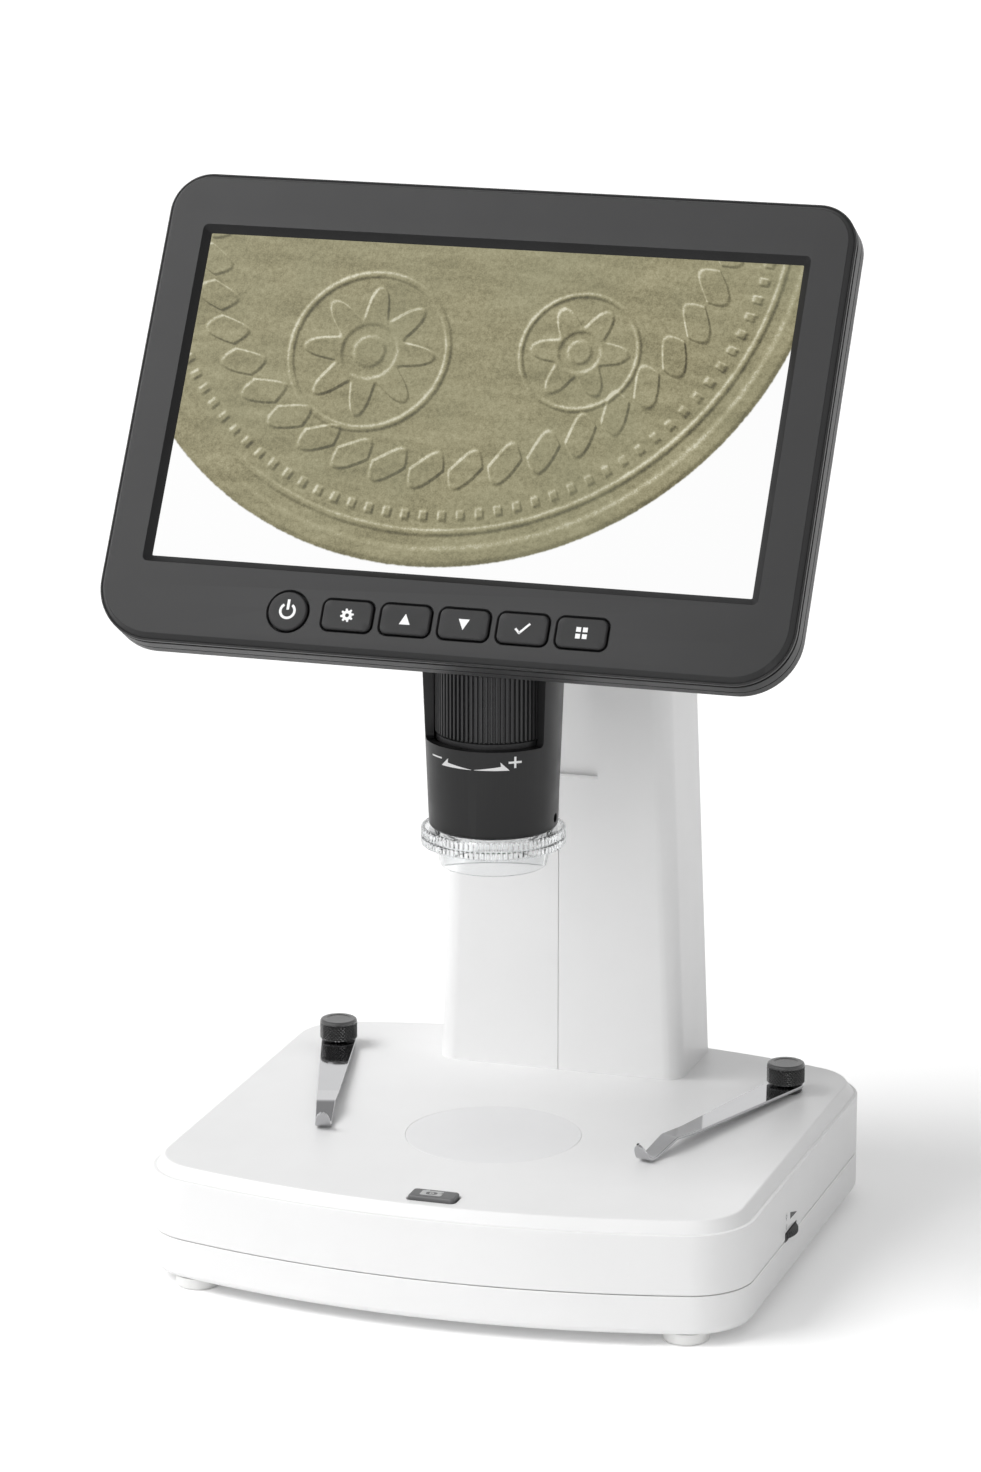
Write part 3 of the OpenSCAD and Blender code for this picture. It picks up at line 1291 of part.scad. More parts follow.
module bar_key(i) color("#3a3a3c") on_screen() translate([key_x(i), -key_low, 0])
  key_body(key_w, key_h, key_round);

module power_key() color("#3a3a3c") on_screen() translate([power_x, -key_low, key_foot]) {
  cylinder(r = power_r + key_flange, h = key_flange_t);
  cylinder(r = power_r, h = plate_t + key_proud - key_foot);
}
module menu_key() bar_key(0);
module up_key() bar_key(1);
module down_key() bar_key(2);
module confirm_key() bar_key(3);
module mode_key() bar_key(4);

base_top_cover();
base_bottom_tray();
foot_front_left();
foot_front_right();
foot_rear_left();
foot_rear_right();
base_screws();
stage_diffuser();
stage_led_board();
base_board();
battery_pack();
usb_port();
card_slot();
snapshot_switch();
snapshot_button();
brightness_pot();
brightness_wheel();
clip_inserts();
clip_left();
clip_right();
clip_knob_left();
clip_knob_right();
column_left_shell();
column_right_shell();
column_cap();
column_base_plate();
column_screws();
guide_rods();
shaft_bushes();
pinion_shaft();
height_knob_left();
height_knob_right();
carriage();
carriage_bushes();
gear_rack();
shutter_plate();
head_housing();
head_cover();
hinge_mount();
hinge_pin();
barrel_sleeve();
sensor_board();
led_ring_board();
focus_wheel();
lens_carrier();
objective_lens();
light_shroud();
screen_bezel();
display_panel();
key_board();
driver_board();
screen_rear_shell();
screen_bracket();
screen_screws();
power_key();
menu_key();
up_key();
down_key();
confirm_key();
mode_key();
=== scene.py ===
"""Desktop digital microscope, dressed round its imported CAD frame.

All lengths in the functions below are millimetres in the CAD frame, and MM turns them into metres.
"""
import json
import math

import bmesh
import bpy
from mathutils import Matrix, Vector

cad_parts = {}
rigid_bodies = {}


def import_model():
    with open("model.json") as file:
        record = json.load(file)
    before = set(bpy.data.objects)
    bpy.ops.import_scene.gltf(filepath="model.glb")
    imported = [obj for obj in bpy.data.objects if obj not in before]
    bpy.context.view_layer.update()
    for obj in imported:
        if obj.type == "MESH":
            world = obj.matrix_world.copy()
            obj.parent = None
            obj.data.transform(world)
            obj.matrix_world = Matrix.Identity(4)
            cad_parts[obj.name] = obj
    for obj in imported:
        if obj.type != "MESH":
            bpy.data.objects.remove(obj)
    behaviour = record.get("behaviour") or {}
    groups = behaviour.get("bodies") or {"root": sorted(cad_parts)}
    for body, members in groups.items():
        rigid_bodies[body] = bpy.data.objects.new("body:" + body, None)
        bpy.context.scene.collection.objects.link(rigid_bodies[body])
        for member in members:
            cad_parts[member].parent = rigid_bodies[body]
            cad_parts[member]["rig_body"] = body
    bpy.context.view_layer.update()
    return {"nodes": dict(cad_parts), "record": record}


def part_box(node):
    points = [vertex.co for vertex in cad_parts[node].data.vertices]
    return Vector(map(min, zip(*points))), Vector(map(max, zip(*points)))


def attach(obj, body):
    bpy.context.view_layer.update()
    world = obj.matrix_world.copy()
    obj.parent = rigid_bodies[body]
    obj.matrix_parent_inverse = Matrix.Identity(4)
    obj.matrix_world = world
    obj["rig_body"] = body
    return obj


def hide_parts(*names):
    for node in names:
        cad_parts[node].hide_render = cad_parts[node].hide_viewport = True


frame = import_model()
MM = 0.001

# Sizes that the CAD model's named values give
BASE_W, BASE_D = 158.0, 151.8
FRONT_BOW, REAR_BOW, BASE_CORNER = 248.0, 235.0, 17.0
SEAM_Z, BASE_TOP = 13.5, 32.2
LENS_Y = -15.9
HINGE_Y, HINGE_Z = -6.4, 197.6
TILT = math.radians(31.3)
UP_SCREEN = 0, math.sin(TILT), math.cos(TILT)
PICTURE_UP, PICTURE_OUT = 10.0, 34.0
SEAM_HALF, COVER_WALL, PLATE_Z = 0.12, 2.4, 29.6
DISC_R, DISC_SEAT = 22.6, 30.4
SNAP_X, SNAP_Y, SNAP_TOP = 0.9, -67.0, 33.3
DIM_X, DIM_Y, DIM_R, DIM_LOW, DIM_HIGH = 72.2, -15.4, 8.5, 13.7, 15.3
PIVOT_X, PIVOT_Y, CLIP_REST = 62.2, 41.5, 16      # the clips lie this many degrees inward
BARREL_LOW, BARREL_HIGH, BARREL_R, BARREL_GROW = 115, 163, 16.3, 1.9
GRUB_Z = 117.9
LCD_W, LCD_H = 154, 86
KEY_Y, KEY_TOP, KEY_PITCH, KEY_MIDDLE, POWER_X = -55.3, 2.1, 14.95, 6.8, -38.55
SCREEN_W, SCREEN_H, SCREEN_MID = 178.4, 124.0, -3.0
TOP_CORNER, LOW_CORNER, CORNER_KEEP = 10.3, 15.0, 10.6     # tighten() starts at CORNER_KEEP
BOW_STEPS, CORNER_STEPS = 32, 14

# The picture, the light and the camera
TOKEN_AT = (-10.0, 51.0)                      # middle of the pictured token, from the picture's middle
SHIFT = 0.3                                   # the relief's slope is read over twice this length
WORLD_LEFT, WORLD_RIGHT, WORLD_CEILING = 0.58, 0.44, 0.4
FLOOR_HALF, FLOOR_GLOW = 30.0, 0.2
FOCAL_PIXELS, PHOTO_PIXELS, SENSOR = 5608, 1472, 24.0
CAMERA_AT, CAMERA_DOWN, CAMERA_TURN = (0.41851, -1.31676, 0.49636), 14.70, 17.865


# ---------- materials ----------

def new_material(name):
    """A node material, its tree and its shader."""
    material = bpy.data.materials.new(name)
    material.use_nodes = True
    tree = material.node_tree
    shader = tree.nodes["Principled BSDF"]
    return material, tree, shader


def add(tree, kind, **values):
    """Adds a node; a value is set on the input socket of that name, or else on the node."""
    node = tree.nodes.new(kind)
    for key, value in values.items():
        socket = node.inputs.get(key.replace("_", " "))
        if socket is not None:
            socket.default_value = value
        else:
            setattr(node, key, value)
    return node


def noise_value(tree, scale, detail=3.0, stretch=(1, 1, 1)):
    """Noise between 0 and 1 fixed to the piece, with features about 1/scale metres wide."""
    place = add(tree, "ShaderNodeTexCoord")
    mapping = add(tree, "ShaderNodeMapping")
    mapping.inputs["Scale"].default_value = stretch
    tree.links.new(place.outputs["Object"], mapping.inputs["Vector"])
    noise = add(tree, "ShaderNodeTexNoise", Scale=scale, Detail=detail, Roughness=0.55)
    tree.links.new(mapping.outputs["Vector"], noise.inputs["Vector"])
    return noise.outputs["Fac"]


def feed(tree, socket, value):
    """Links an output to the input socket, or sets the socket to a plain value."""
    if hasattr(value, "links"):
        tree.links.new(value, socket)
    else:
        socket.default_value = value


def spread(tree, value, low, high, at=(0.3, 0.7), **options):
    """Maps a value from the range at onto low to high; each may be a socket."""
    node = add(tree, "ShaderNodeMapRange", **options)
    names = ("Value", "From Min", "From Max", "To Min", "To Max")
    for name, number in zip(names, (value, *at, low, high)):
        feed(tree, node.inputs[name], number)
    return node.outputs["Result"]


def mix_colour(tree, factor, first, second):
    """Mixes two colours, each a socket or three numbers."""
    node = add(tree, "ShaderNodeMix", data_type="RGBA")
    tree.links.new(factor, node.inputs[0])
    for socket, value in ((node.inputs[6], first), (node.inputs[7], second)):
        feed(tree, socket, value if hasattr(value, "links") else (*value, 1))
    return node.outputs[2]


def moulded(name, colour, roughness, grain, grain_depth, shade, worn, specular=0.5, uneven=0.13,
            drawn=1, metallic=0.0):
    """Moulded plastic, rubber or metal: fine grain, slow colour change, uneven gloss and worn edges."""
    material, tree, shader = new_material(name)
    slow = noise_value(tree, 38, 2.0)
    smudge = noise_value(tree, 140, 5.0, (1, 1, drawn))
    fine = noise_value(tree, grain, 2.0, (1, 1, drawn))
    dark = tuple(c * (1 - shade) for c in colour)
    pale = tuple(min(1.0, c * (1 + shade)) for c in colour)
    body = mix_colour(tree, spread(tree, slow, 0.0, 1.0), dark, pale)
    edge = add(tree, "ShaderNodeNewGeometry")
    rub = spread(tree, edge.outputs["Pointiness"], 0.0, worn, at=(0.505, 0.56))
    rubbed = tuple(min(1.0, c * 1.5 + 0.02) for c in colour)
    tree.links.new(mix_colour(tree, rub, body, rubbed), shader.inputs["Base Color"])
    tree.links.new(spread(tree, smudge, roughness * (1 - uneven), min(1.0, roughness * (1 + uneven))),
                   shader.inputs["Roughness"])
    bump = add(tree, "ShaderNodeBump", Strength=0.35, Distance=grain_depth)
    tree.links.new(fine, bump.inputs["Height"])
    tree.links.new(bump.outputs["Normal"], shader.inputs["Normal"])
    shader.inputs["Specular IOR Level"].default_value = specular
    shader.inputs["Metallic"].default_value = metallic
    return material


def clear(name, colour, roughness, weight):
    """Clear moulded plastic or glass, slightly uneven."""
    material, tree, shader = new_material(name)
    fine = noise_value(tree, 900, 2.0)
    tree.links.new(spread(tree, fine, roughness * 0.7, roughness * 1.3), shader.inputs["Roughness"])
    shader.inputs["Base Color"].default_value = (*colour, 1)
    shader.inputs["Transmission Weight"].default_value = weight
    shader.inputs["IOR"].default_value = 1.49
    bump = add(tree, "ShaderNodeBump", Strength=0.1, Distance=0.00001)
    tree.links.new(fine, bump.inputs["Height"])
    tree.links.new(bump.outputs["Normal"], shader.inputs["Normal"])
    return material


# Name, colour, roughness, grain, its depth, shade, wear, specular level, unevenness, drawing out, metal
MOULDED = (
    ("white_plastic", (0.86, 0.86, 0.86), 0.36, 2200, 0.00002, 0.012, 0.1),
    ("screen_grey", (0.012, 0.012, 0.0125), 0.4, 3800, 0.00002, 0.10, 0.35, 0.36, 0.03),
    # painted shade: a darker copy of screen_grey, put on the slopes round the picture opening
    ("screen_edge", (0.007, 0.007, 0.0075), 0.5, 3000, 0.00003, 0.1, 0.3, 0.25),
    ("black_plastic", (0.014, 0.014, 0.015), 0.42, 3000, 0.00002, 0.12, 0.3),
    ("barrel_black", (0.009, 0.009, 0.0095), 0.4, 4200, 0.00002, 0.10, 0.3, 0.32),
    ("knob_black", (0.024, 0.024, 0.0245), 0.2, 3000, 0.00002, 0.12, 1.0, 0.9),
    ("key_rubber", (0.011, 0.011, 0.0115), 0.46, 3400, 0.00003, 0.12, 0.3, 0.35),
    ("button_grey", (0.125, 0.125, 0.127), 0.45, 2800, 0.00003, 0.08, 0.3),
    ("light_rubber", (0.8, 0.8, 0.79), 0.7, 1800, 0.00004, 0.03, 0.05),
    ("diffuser", (0.83, 0.83, 0.836), 0.36, 2200, 0.00002, 0.012, 0.1),
    ("steel", (0.62, 0.62, 0.63), 0.28, 1500, 0.00001, 0.05, 0.2, 0.5, 0.13, 14, 1.0),
    ("polished_steel", (0.48, 0.48, 0.49), 0.06, 700, 0.000004, 0.03, 0.1, 0.5, 0.13, 1, 1.0),
    ("brass", (0.75, 0.55, 0.24), 0.26, 1500, 0.00001, 0.05, 0.2, 0.5, 0.13, 10, 1.0),
    ("dark_steel", (0.06, 0.06, 0.062), 0.4, 2200, 0.00002, 0.08, 0.4),
    ("board", (0.03, 0.16, 0.07), 0.35, 900, 0.00003, 0.2, 0.1),
    ("battery_wrap", (0.06, 0.16, 0.42), 0.25, 300, 0.00005, 0.1, 0.1),
    ("display", (0.03, 0.03, 0.03), 0.2, 900, 0.00001, 0.05, 0.0),
    ("print_white", (0.85, 0.85, 0.85), 0.5, 2600, 0.00001, 0.03, 0.0),
    ("print_pale", (0.5, 0.5, 0.5), 0.5, 2600, 0.00001, 0.03, 0.0),
    ("print_dark", (0.05, 0.05, 0.05), 0.5, 2600, 0.00001, 0.05, 0.0),
    ("print_grey", (0.32, 0.32, 0.33), 0.5, 2600, 0.00001, 0.05, 0.0),
)
FINISH = {row[0]: moulded(*row) for row in MOULDED}
FINISH["clear_plastic"] = clear("clear_plastic", (0.97, 0.98, 0.985), 0.06, 0.96)
FINISH["lens_glass"] = clear("lens_glass", (0.85, 0.93, 0.93), 0.01, 1.0)
node_slot = {row["node"]: row["material_slot"] for row in frame["record"]["subparts"]}


# ---------- mesh helpers ----------

def turn_to_mesh(name, shape):
    """A mesh from (points, faces) in millimetres, with its seams welded and its faces turned outward."""
    points, faces = shape
    mesh = bpy.data.meshes.new(name)
    mesh.from_pydata([(x * MM, y * MM, z * MM) for x, y, z in points], [], faces)
    work = bmesh.new()
    work.from_mesh(mesh)
    bmesh.ops.remove_doubles(work, verts=work.verts, dist=1e-6)
    bmesh.ops.recalc_face_normals(work, faces=work.faces)
    work.to_mesh(mesh)
    work.free()
    return mesh


def rounded(path, steps=4):
    """A path of (x, y, radius) corners as plain points, each corner rounded by its radius."""
    out = []
    for i, (x, y, radius) in enumerate(path):
        here = Vector((x, y))
        if not radius or i in (0, len(path) - 1):
            out.append((x, y))
            continue
        before = (Vector(path[i - 1][:2]) - here).normalized()
        after = (Vector(path[i + 1][:2]) - here).normalized()
        half = before.angle(after) / 2
        centre = here + (before + after).normalized() * (radius / math.sin(half))
        first = here + before * (radius / math.tan(half)) - centre
        last = here + after * (radius / math.tan(half)) - centre
        begin = math.atan2(first.y, first.x)
        sweep = math.remainder(math.atan2(last.y, last.x) - begin, math.tau)
        for k in range(steps + 1):
            a = begin + sweep * k / steps
            out.append((centre.x + radius * math.cos(a), centre.y + radius * math.sin(a)))
    return out


def arc(x, y, radius, start, end, steps, last=False):
    """Points on an arc between two angles in degrees."""
    angles = [math.radians(start + (end - start) * k / steps) for k in range(steps + (1 if last else 0))]
    return [(x + radius * math.cos(a), y + radius * math.sin(a)) for a in angles]


def base_loop(inset):
    """Outline of the base drawn in by inset: two bows, two straight sides and four round corners."""
    r = max(BASE_CORNER - inset, 0.5)
    side = BASE_W / 2 - inset - r
    front_c, rear_c = FRONT_BOW - BASE_D / 2, BASE_D / 2 - REAR_BOW
    front_r, rear_r = FRONT_BOW - inset, REAR_BOW - inset
    front_a = math.degrees(math.asin(side / (front_r - r)))
    rear_a = math.degrees(math.asin(side / (rear_r - r)))
    front_y = front_c - (front_r - r) * math.cos(math.radians(front_a))
    rear_y = rear_c + (rear_r - r) * math.cos(math.radians(rear_a))
    return (arc(0, front_c, front_r, 270 - front_a, 270 + front_a, BOW_STEPS)
            + arc(side, front_y, r, 270 + front_a, 360, CORNER_STEPS, True)
            + arc(side, rear_y, r, 0, 90 - rear_a, CORNER_STEPS)
            + arc(0, rear_c, rear_r, 90 - rear_a, 90 + rear_a, BOW_STEPS)
            + arc(-side, rear_y, r, 90 + rear_a, 180, CORNER_STEPS, True)
            + arc(-side, front_y, r, 180, 270 - front_a, CORNER_STEPS))


def block_loop(width, height, radius, inset=0.0, x=0.0, y=0.0, steps=8):
    """Outline of a rectangle with round corners, drawn in by inset."""
    r = max(radius - inset, 0.02)
    w, h = width / 2 - inset - r, height / 2 - inset - r
    loop = []
    for k, (sx, sy) in enumerate(((1, 1), (-1, 1), (-1, -1), (1, -1))):
        loop += arc(x + sx * w, y + sy * h, r, 90 * k, 90 * k + 90, steps, True)
    return loop


def circle_loop(radius, count, x=0.0, y=0.0):
    """Outline of a circle."""
    return arc(x, y, radius, 0, 360, count)


def loft(rings, closed=False):
    """Joins rings of equally many points; the ends get a flat cap, or close on each other."""
    n = len(rings[0])
    points = [p for ring in rings for p in ring]
    faces = []
    for j in range(len(rings) if closed else len(rings) - 1):
        a, b = j * n, (j + 1) % len(rings) * n
        faces += [(a + i, a + (i + 1) % n, b + (i + 1) % n, b + i) for i in range(n)]
    if not closed:
        faces += [tuple(range(n)), tuple(len(points) - n + i for i in range(n))]
    return points, faces


def lifted(loop, z):
    """A flat outline at a height."""
    return [(x, y, z) for x, y in loop]


def stacked(loop_at, path):
    """Lofts outlines that follow a path of (inset, height)."""
    return loft([lifted(loop_at(d), z) for d, z in path])


def turned(path, count=96, x=0.0, y=0.0, closed=False):
    """Turns a path of (radius, height) round an upright axis."""
    return loft([lifted(circle_loop(r, count, x, y), z) for r, z in path], closed)


def moved(shape, place):
    """The shape with each point passed through place."""
    points, faces = shape
    return [place(*p) for p in points], faces


def join(*shapes):
    """Several shapes as one."""
    points, faces = [], []
    for more, theirs in shapes:
        faces += [tuple(i + len(points) for i in face) for face in theirs]
        points += more
    return points, faces


def on_screen(x, y, z):
    """From the screen's frame (right, up the screen, out of it) to the CAD frame."""
    up, out = y + PICTURE_UP, z + PICTURE_OUT
    return (x, HINGE_Y + up * math.sin(TILT) - out * math.cos(TILT),
            HINGE_Z + up * math.cos(TILT) + out * math.sin(TILT))


def cut(mesh, tools):
    """The mesh with the tools' solids taken away."""
    held = bpy.data.objects.new("held", mesh)
    things = [held]
    for shape in tools:
        tool = bpy.data.objects.new("tool", turn_to_mesh("tool", shape))
        knife = held.modifiers.new("cut", "BOOLEAN")
        knife.operation, knife.solver, knife.object = "DIFFERENCE", "EXACT", tool
        things.append(tool)
    for thing in things:
        bpy.context.scene.collection.objects.link(thing)
    bpy.context.view_layer.update()
    left = held.evaluated_get(bpy.context.evaluated_depsgraph_get())
    result = bpy.data.meshes.new_from_object(left)
    for thing in things:
        bpy.data.objects.remove(thing)
    return result


def ease(mesh, width, segments=2, sharp=35.0):
    """Rounds every edge of the mesh that is sharper than the angle."""
    work = bmesh.new()
    work.from_mesh(mesh)
    bmesh.ops.remove_doubles(work, verts=work.verts, dist=2e-6)
    bmesh.ops.dissolve_limit(work, angle_limit=math.radians(0.8), verts=work.verts, edges=work.edges)
    edges = [e for e in work.edges if e.is_manifold and e.calc_face_angle(0.0) > math.radians(sharp)]
    bmesh.ops.bevel(work, geom=edges, offset=width * MM, offset_type="OFFSET", segments=segments,
                    profile=0.5, affect="EDGES", clamp_overlap=True)
    work.to_mesh(mesh)
    work.free()


def settle(name, mesh, slot, body, replaces=(), finish=None, degrees=35):
    """Makes a piece of the mesh, gives it its finish and puts it on its body."""
    piece = bpy.data.objects.new(name, mesh)
    bpy.context.scene.collection.objects.link(piece)
    mesh.shade_smooth()
    mesh.set_sharp_from_angle(angle=math.radians(degrees))
    mesh.materials.clear()
    mesh.materials.append(FINISH[finish or slot])
    even = piece.modifiers.new("normals", "WEIGHTED_NORMAL")
    even.keep_sharp = True
    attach(piece, body)
    if replaces:
        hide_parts(*replaces)


def make(name, shape, slot, body, replaces=(), finish=None, tools=(), degrees=35):
    """A piece from (points, faces) in millimetres, with tools cut out of it."""
    mesh = turn_to_mesh(name, shape)
    if tools:
        mesh = cut(mesh, tools)
    settle(name, mesh, slot, body, replaces, finish, degrees)


def softened(node, tools=(), change=None):
    """Stands for a CAD node: its flat faces joined into one each and its sharp edges rounded."""
    mesh = frame["nodes"][node].data.copy()
    if tools:
        mesh = cut(mesh, tools)
    if change:
        change(mesh)
    ease(mesh, 0.25)
    settle(node + "_shape", mesh, node_slot[node], frame["nodes"][node]["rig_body"], (node,))


def printed(name, strips, place, body, slot, finish, thick=0.04):
    """Thin print: each strip is two rows of points, and place(u, v, height) puts them on the piece."""
    shapes = []
    for low, high in strips:
        n = len(low)
        points = [place(u, v, h) for h in (0.0, thick) for row in (low, high) for u, v in row]
        faces = []
        for i in range(n - 1):
            for a, b in ((0, n), (2 * n, 3 * n), (0, 2 * n), (n, 3 * n)):
                faces.append((a + i, a + i + 1, b + i + 1, b + i))
        faces += [(0, n, 3 * n, 2 * n), (n - 1, 2 * n - 1, 4 * n - 1, 3 * n - 1)]
        shapes.append((points, faces))
    make(name, join(*shapes), slot, body, finish=finish, degrees=60)


# ---------- the picture on the display ----------

def calc(tree, operation, *values):
    """A Math node on sockets or plain numbers."""
    node = add(tree, "ShaderNodeMath", operation=operation)
    for socket, value in zip(node.inputs, values):
        feed(tree, socket, value)
    return node.outputs[0]


def step_up(tree, value, low, high):
    """0 below low, 1 above high and smooth between them."""
    return spread(tree, value, 0.0, 1.0, (low, high), interpolation_type="SMOOTHSTEP")


def polar(tree, x, y, cx, cy):
    """Distance and angle of a point about a centre, in millimetres and radians."""
    dx, dy = calc(tree, "SUBTRACT", x, cx), calc(tree, "SUBTRACT", y, cy)
    squares = calc(tree, "ADD", calc(tree, "MULTIPLY", dx, dx), calc(tree, "MULTIPLY", dy, dy))
    return calc(tree, "SQRT", squares), calc(tree, "ARCTAN2", dy, dx)


def between(tree, value, low, high, soft):
    """1 between low and high, with soft edges."""
    return calc(tree, "SUBTRACT", step_up(tree, value, low - soft, low + soft),
                step_up(tree, value, high - soft, high + soft))


def relief(tree, x, y):
    """Height of the pictured token: a rim, a ring of beads, slanting leaves and two rosettes."""
    r, turn = polar(tree, x, y, *TOKEN_AT)
    rim = between(tree, r, 87.2, 91.4, 0.9)
    line = between(tree, r, 82.4, 83.8, 0.5)
    wave = calc(tree, "SINE", calc(tree, "MULTIPLY", turn, 104.0))
    beads = calc(tree, "MULTIPLY", step_up(tree, wave, -0.1, 0.7), between(tree, r, 77.6, 80.0, 0.6))
    slant = calc(tree, "MULTIPLY", calc(tree, "SUBTRACT", r, 67.0), 0.16)
    phase = calc(tree, "ADD", slant, calc(tree, "MULTIPLY", turn, 21.0))
    leaf = calc(tree, "ABSOLUTE", calc(tree, "SINE", phase))
    gap = calc(tree, "ABSOLUTE", slant)
    leaves = step_up(tree, calc(tree, "SUBTRACT", leaf, gap), 0.12, 0.3)
    total = calc(tree, "ADD", calc(tree, "ADD", rim, line), calc(tree, "ADD", beads, leaves))
    for cx, cy, size, petals, start in ((-30.0, 14.0, 17.0, 8.0, 0.3), (24.0, 17.0, 12.5, 6.0, 0.1)):
        d, a = polar(tree, x, y, cx, cy)
        lobes = calc(tree, "COSINE", calc(tree, "MULTIPLY_ADD", a, petals, start))
        edge = calc(tree, "MULTIPLY_ADD", lobes, size * 0.24, size * 0.76)
        flower = calc(tree, "SUBTRACT", 1.0, step_up(tree, calc(tree, "SUBTRACT", d, edge), -0.5, 0.7))
        well = between(tree, d, size * 0.24, size * 0.42, 0.6)
        ring = between(tree, d, size * 1.16, size * 1.24, 0.45)
        total = calc(tree, "ADD", total, calc(tree, "ADD", calc(tree, "SUBTRACT", flower, well), ring))
    return total


def picture_finish():
    """A lit display that shows a worn metal token in relief on white."""
    material, tree, shader = new_material("picture")
    place = add(tree, "ShaderNodeTexCoord").outputs["Object"]
    axes = []
    for direction in ((1, 0, 0), UP_SCREEN):
        dot = add(tree, "ShaderNodeVectorMath", operation="DOT_PRODUCT")
        tree.links.new(place, dot.inputs[0])
        dot.inputs[1].default_value = [c / MM for c in direction]
        axes.append(dot.outputs["Value"])
    middle = Vector(on_screen(0, 0, 0)).dot(UP_SCREEN)
    x, y = axes[0], calc(tree, "SUBTRACT", axes[1], middle)
    grain = noise_value(tree, 900, 4.0)
    pits = noise_value(tree, 2600, 2.0)
    streak = noise_value(tree, 120, 6.0, (0.5, 2.2, 2.2))
    patch = noise_value(tree, 34, 3.0)
    heights = []
    for shift in (-SHIFT, SHIFT):
        sx, sy = calc(tree, "ADD", x, shift), calc(tree, "SUBTRACT", y, shift)
        heights.append(relief(tree, sx, sy))
    slope = calc(tree, "SUBTRACT", heights[1], heights[0])
    rough = calc(tree, "MULTIPLY_ADD", calc(tree, "SUBTRACT", grain, 0.5), 0.5,
                 calc(tree, "MULTIPLY", calc(tree, "SUBTRACT", pits, 0.5), 0.5))
    worn = calc(tree, "MULTIPLY", calc(tree, "SUBTRACT", streak, 0.5), 0.5)
    lit = calc(tree, "MULTIPLY_ADD", slope, 0.42, 0.5)
    level = calc(tree, "ADD", lit, calc(tree, "ADD", rough, worn))
    ramp = add(tree, "ShaderNodeValToRGB")
    tree.links.new(level, ramp.inputs["Fac"])
    stops = ((0.0, (0.05, 0.042, 0.02)), (0.3, (0.175, 0.155, 0.08)), (0.5, (0.29, 0.262, 0.15)),
             (0.72, (0.41, 0.377, 0.235)), (1.0, (0.75, 0.72, 0.56)))
    while len(ramp.color_ramp.elements) < len(stops):
        ramp.color_ramp.elements.new(0.5)
    for element, (at, colour) in zip(ramp.color_ramp.elements, stops):
        element.position, element.color = at, (*colour, 1)
    tarnish, paper = (0.27, 0.27, 0.165), (0.95, 0.95, 0.95)
    tinted = mix_colour(tree, spread(tree, patch, 0.0, 0.35), ramp.outputs["Color"], tarnish)
    r, _ = polar(tree, x, y, *TOKEN_AT)
    outside = step_up(tree, calc(tree, "MULTIPLY_ADD", grain, 0.5, r), 92.0, 92.5)
    tree.links.new(mix_colour(tree, outside, tinted, paper), shader.inputs["Emission Color"])
    shader.inputs["Emission Strength"].default_value = 1.0
    shader.inputs["Base Color"].default_value = (0.01, 0.01, 0.01, 1)
    shader.inputs["Roughness"].default_value = 0.3
    shader.inputs["Specular IOR Level"].default_value = 0.1
    return material


FINISH["picture"] = picture_finish()


# ---------- base ----------

def base_cover():
    """The white top cover: a hollow shell with a lipped bevel, the disc's recess and its openings."""
    path = rounded([(COVER_WALL, PLATE_Z, 0), (COVER_WALL, SEAM_Z + SEAM_HALF, 0),
                    (0, SEAM_Z + SEAM_HALF, 0.25), (0, 29.25, 0.3), (0.95, 29.3, 0.12),
                    (2.95, BASE_TOP, 0.8), (8, BASE_TOP, 0)], 5)
    cuts = [turned([(DISC_R - 1.4, 20), (DISC_R - 1.4, DISC_SEAT), (DISC_R + 0.05, DISC_SEAT),
                    (DISC_R + 0.05, BASE_TOP - 0.08), (DISC_R + 0.13, BASE_TOP + 0.02),
                    (DISC_R + 0.13, BASE_TOP + 2)], 128, 0, LENS_Y),
            stacked(lambda d: block_loop(12.6, 6.4, 1.3, d, SNAP_X, SNAP_Y, 6),
                    [(0, 20), (0, BASE_TOP - 0.3), (-0.3, BASE_TOP + 0.02), (-0.3, 40)]),
            turned([(DIM_R + 0.3, 13.0), (DIM_R + 0.3, 15.6)], 72, DIM_X, DIM_Y),
            stacked(lambda d: block_loop(6, 8.4, 0.5, d, -BASE_W / 2, 50.6), [(0, 15.5), (0, 18.9)]),
            stacked(lambda d: block_loop(6, 12.2, 0.4, d, -BASE_W / 2, 38.4), [(0, 15.5), (0, 18.0)])]
    for side in (-1, 1):
        cuts.append(turned([(3.2, 20), (3.2, BASE_TOP - 0.2), (3.45, BASE_TOP + 0.02), (3.45, 40)],
                           48, side * PIVOT_X, PIVOT_Y))
    make("base_cover", stacked(base_loop, path), "white_plastic", "base", ("base_top_cover",),
         tools=cuts)


def base_tray():
    """The bottom tray with its rounded lower edge, lip and screw recesses."""
    path = rounded([(3.85, 5.2, 0), (3.85, 15.6, 0.2), (2.6, 15.6, 0.2), (2.6, SEAM_Z - SEAM_HALF, 0),
                    (0, SEAM_Z - SEAM_HALF, 0.25), (0, 3, 2.0), (8, 3, 0)], 5)
    cuts = [turned([(DIM_R + 0.3, 13.0), (DIM_R + 0.3, 17)], 72, DIM_X, DIM_Y)]
    for x, y in ((68, -38), (-68, -38), (40, 62), (-40, 62)):
        cuts.append(turned([(3.4, 1), (3.2, 3.3), (3.0, 3.5), (3.0, 5.0)], 32, x, y))
    make("base_tray", stacked(base_loop, path), "white_plastic", "base", ("base_bottom_tray",),
         tools=cuts)


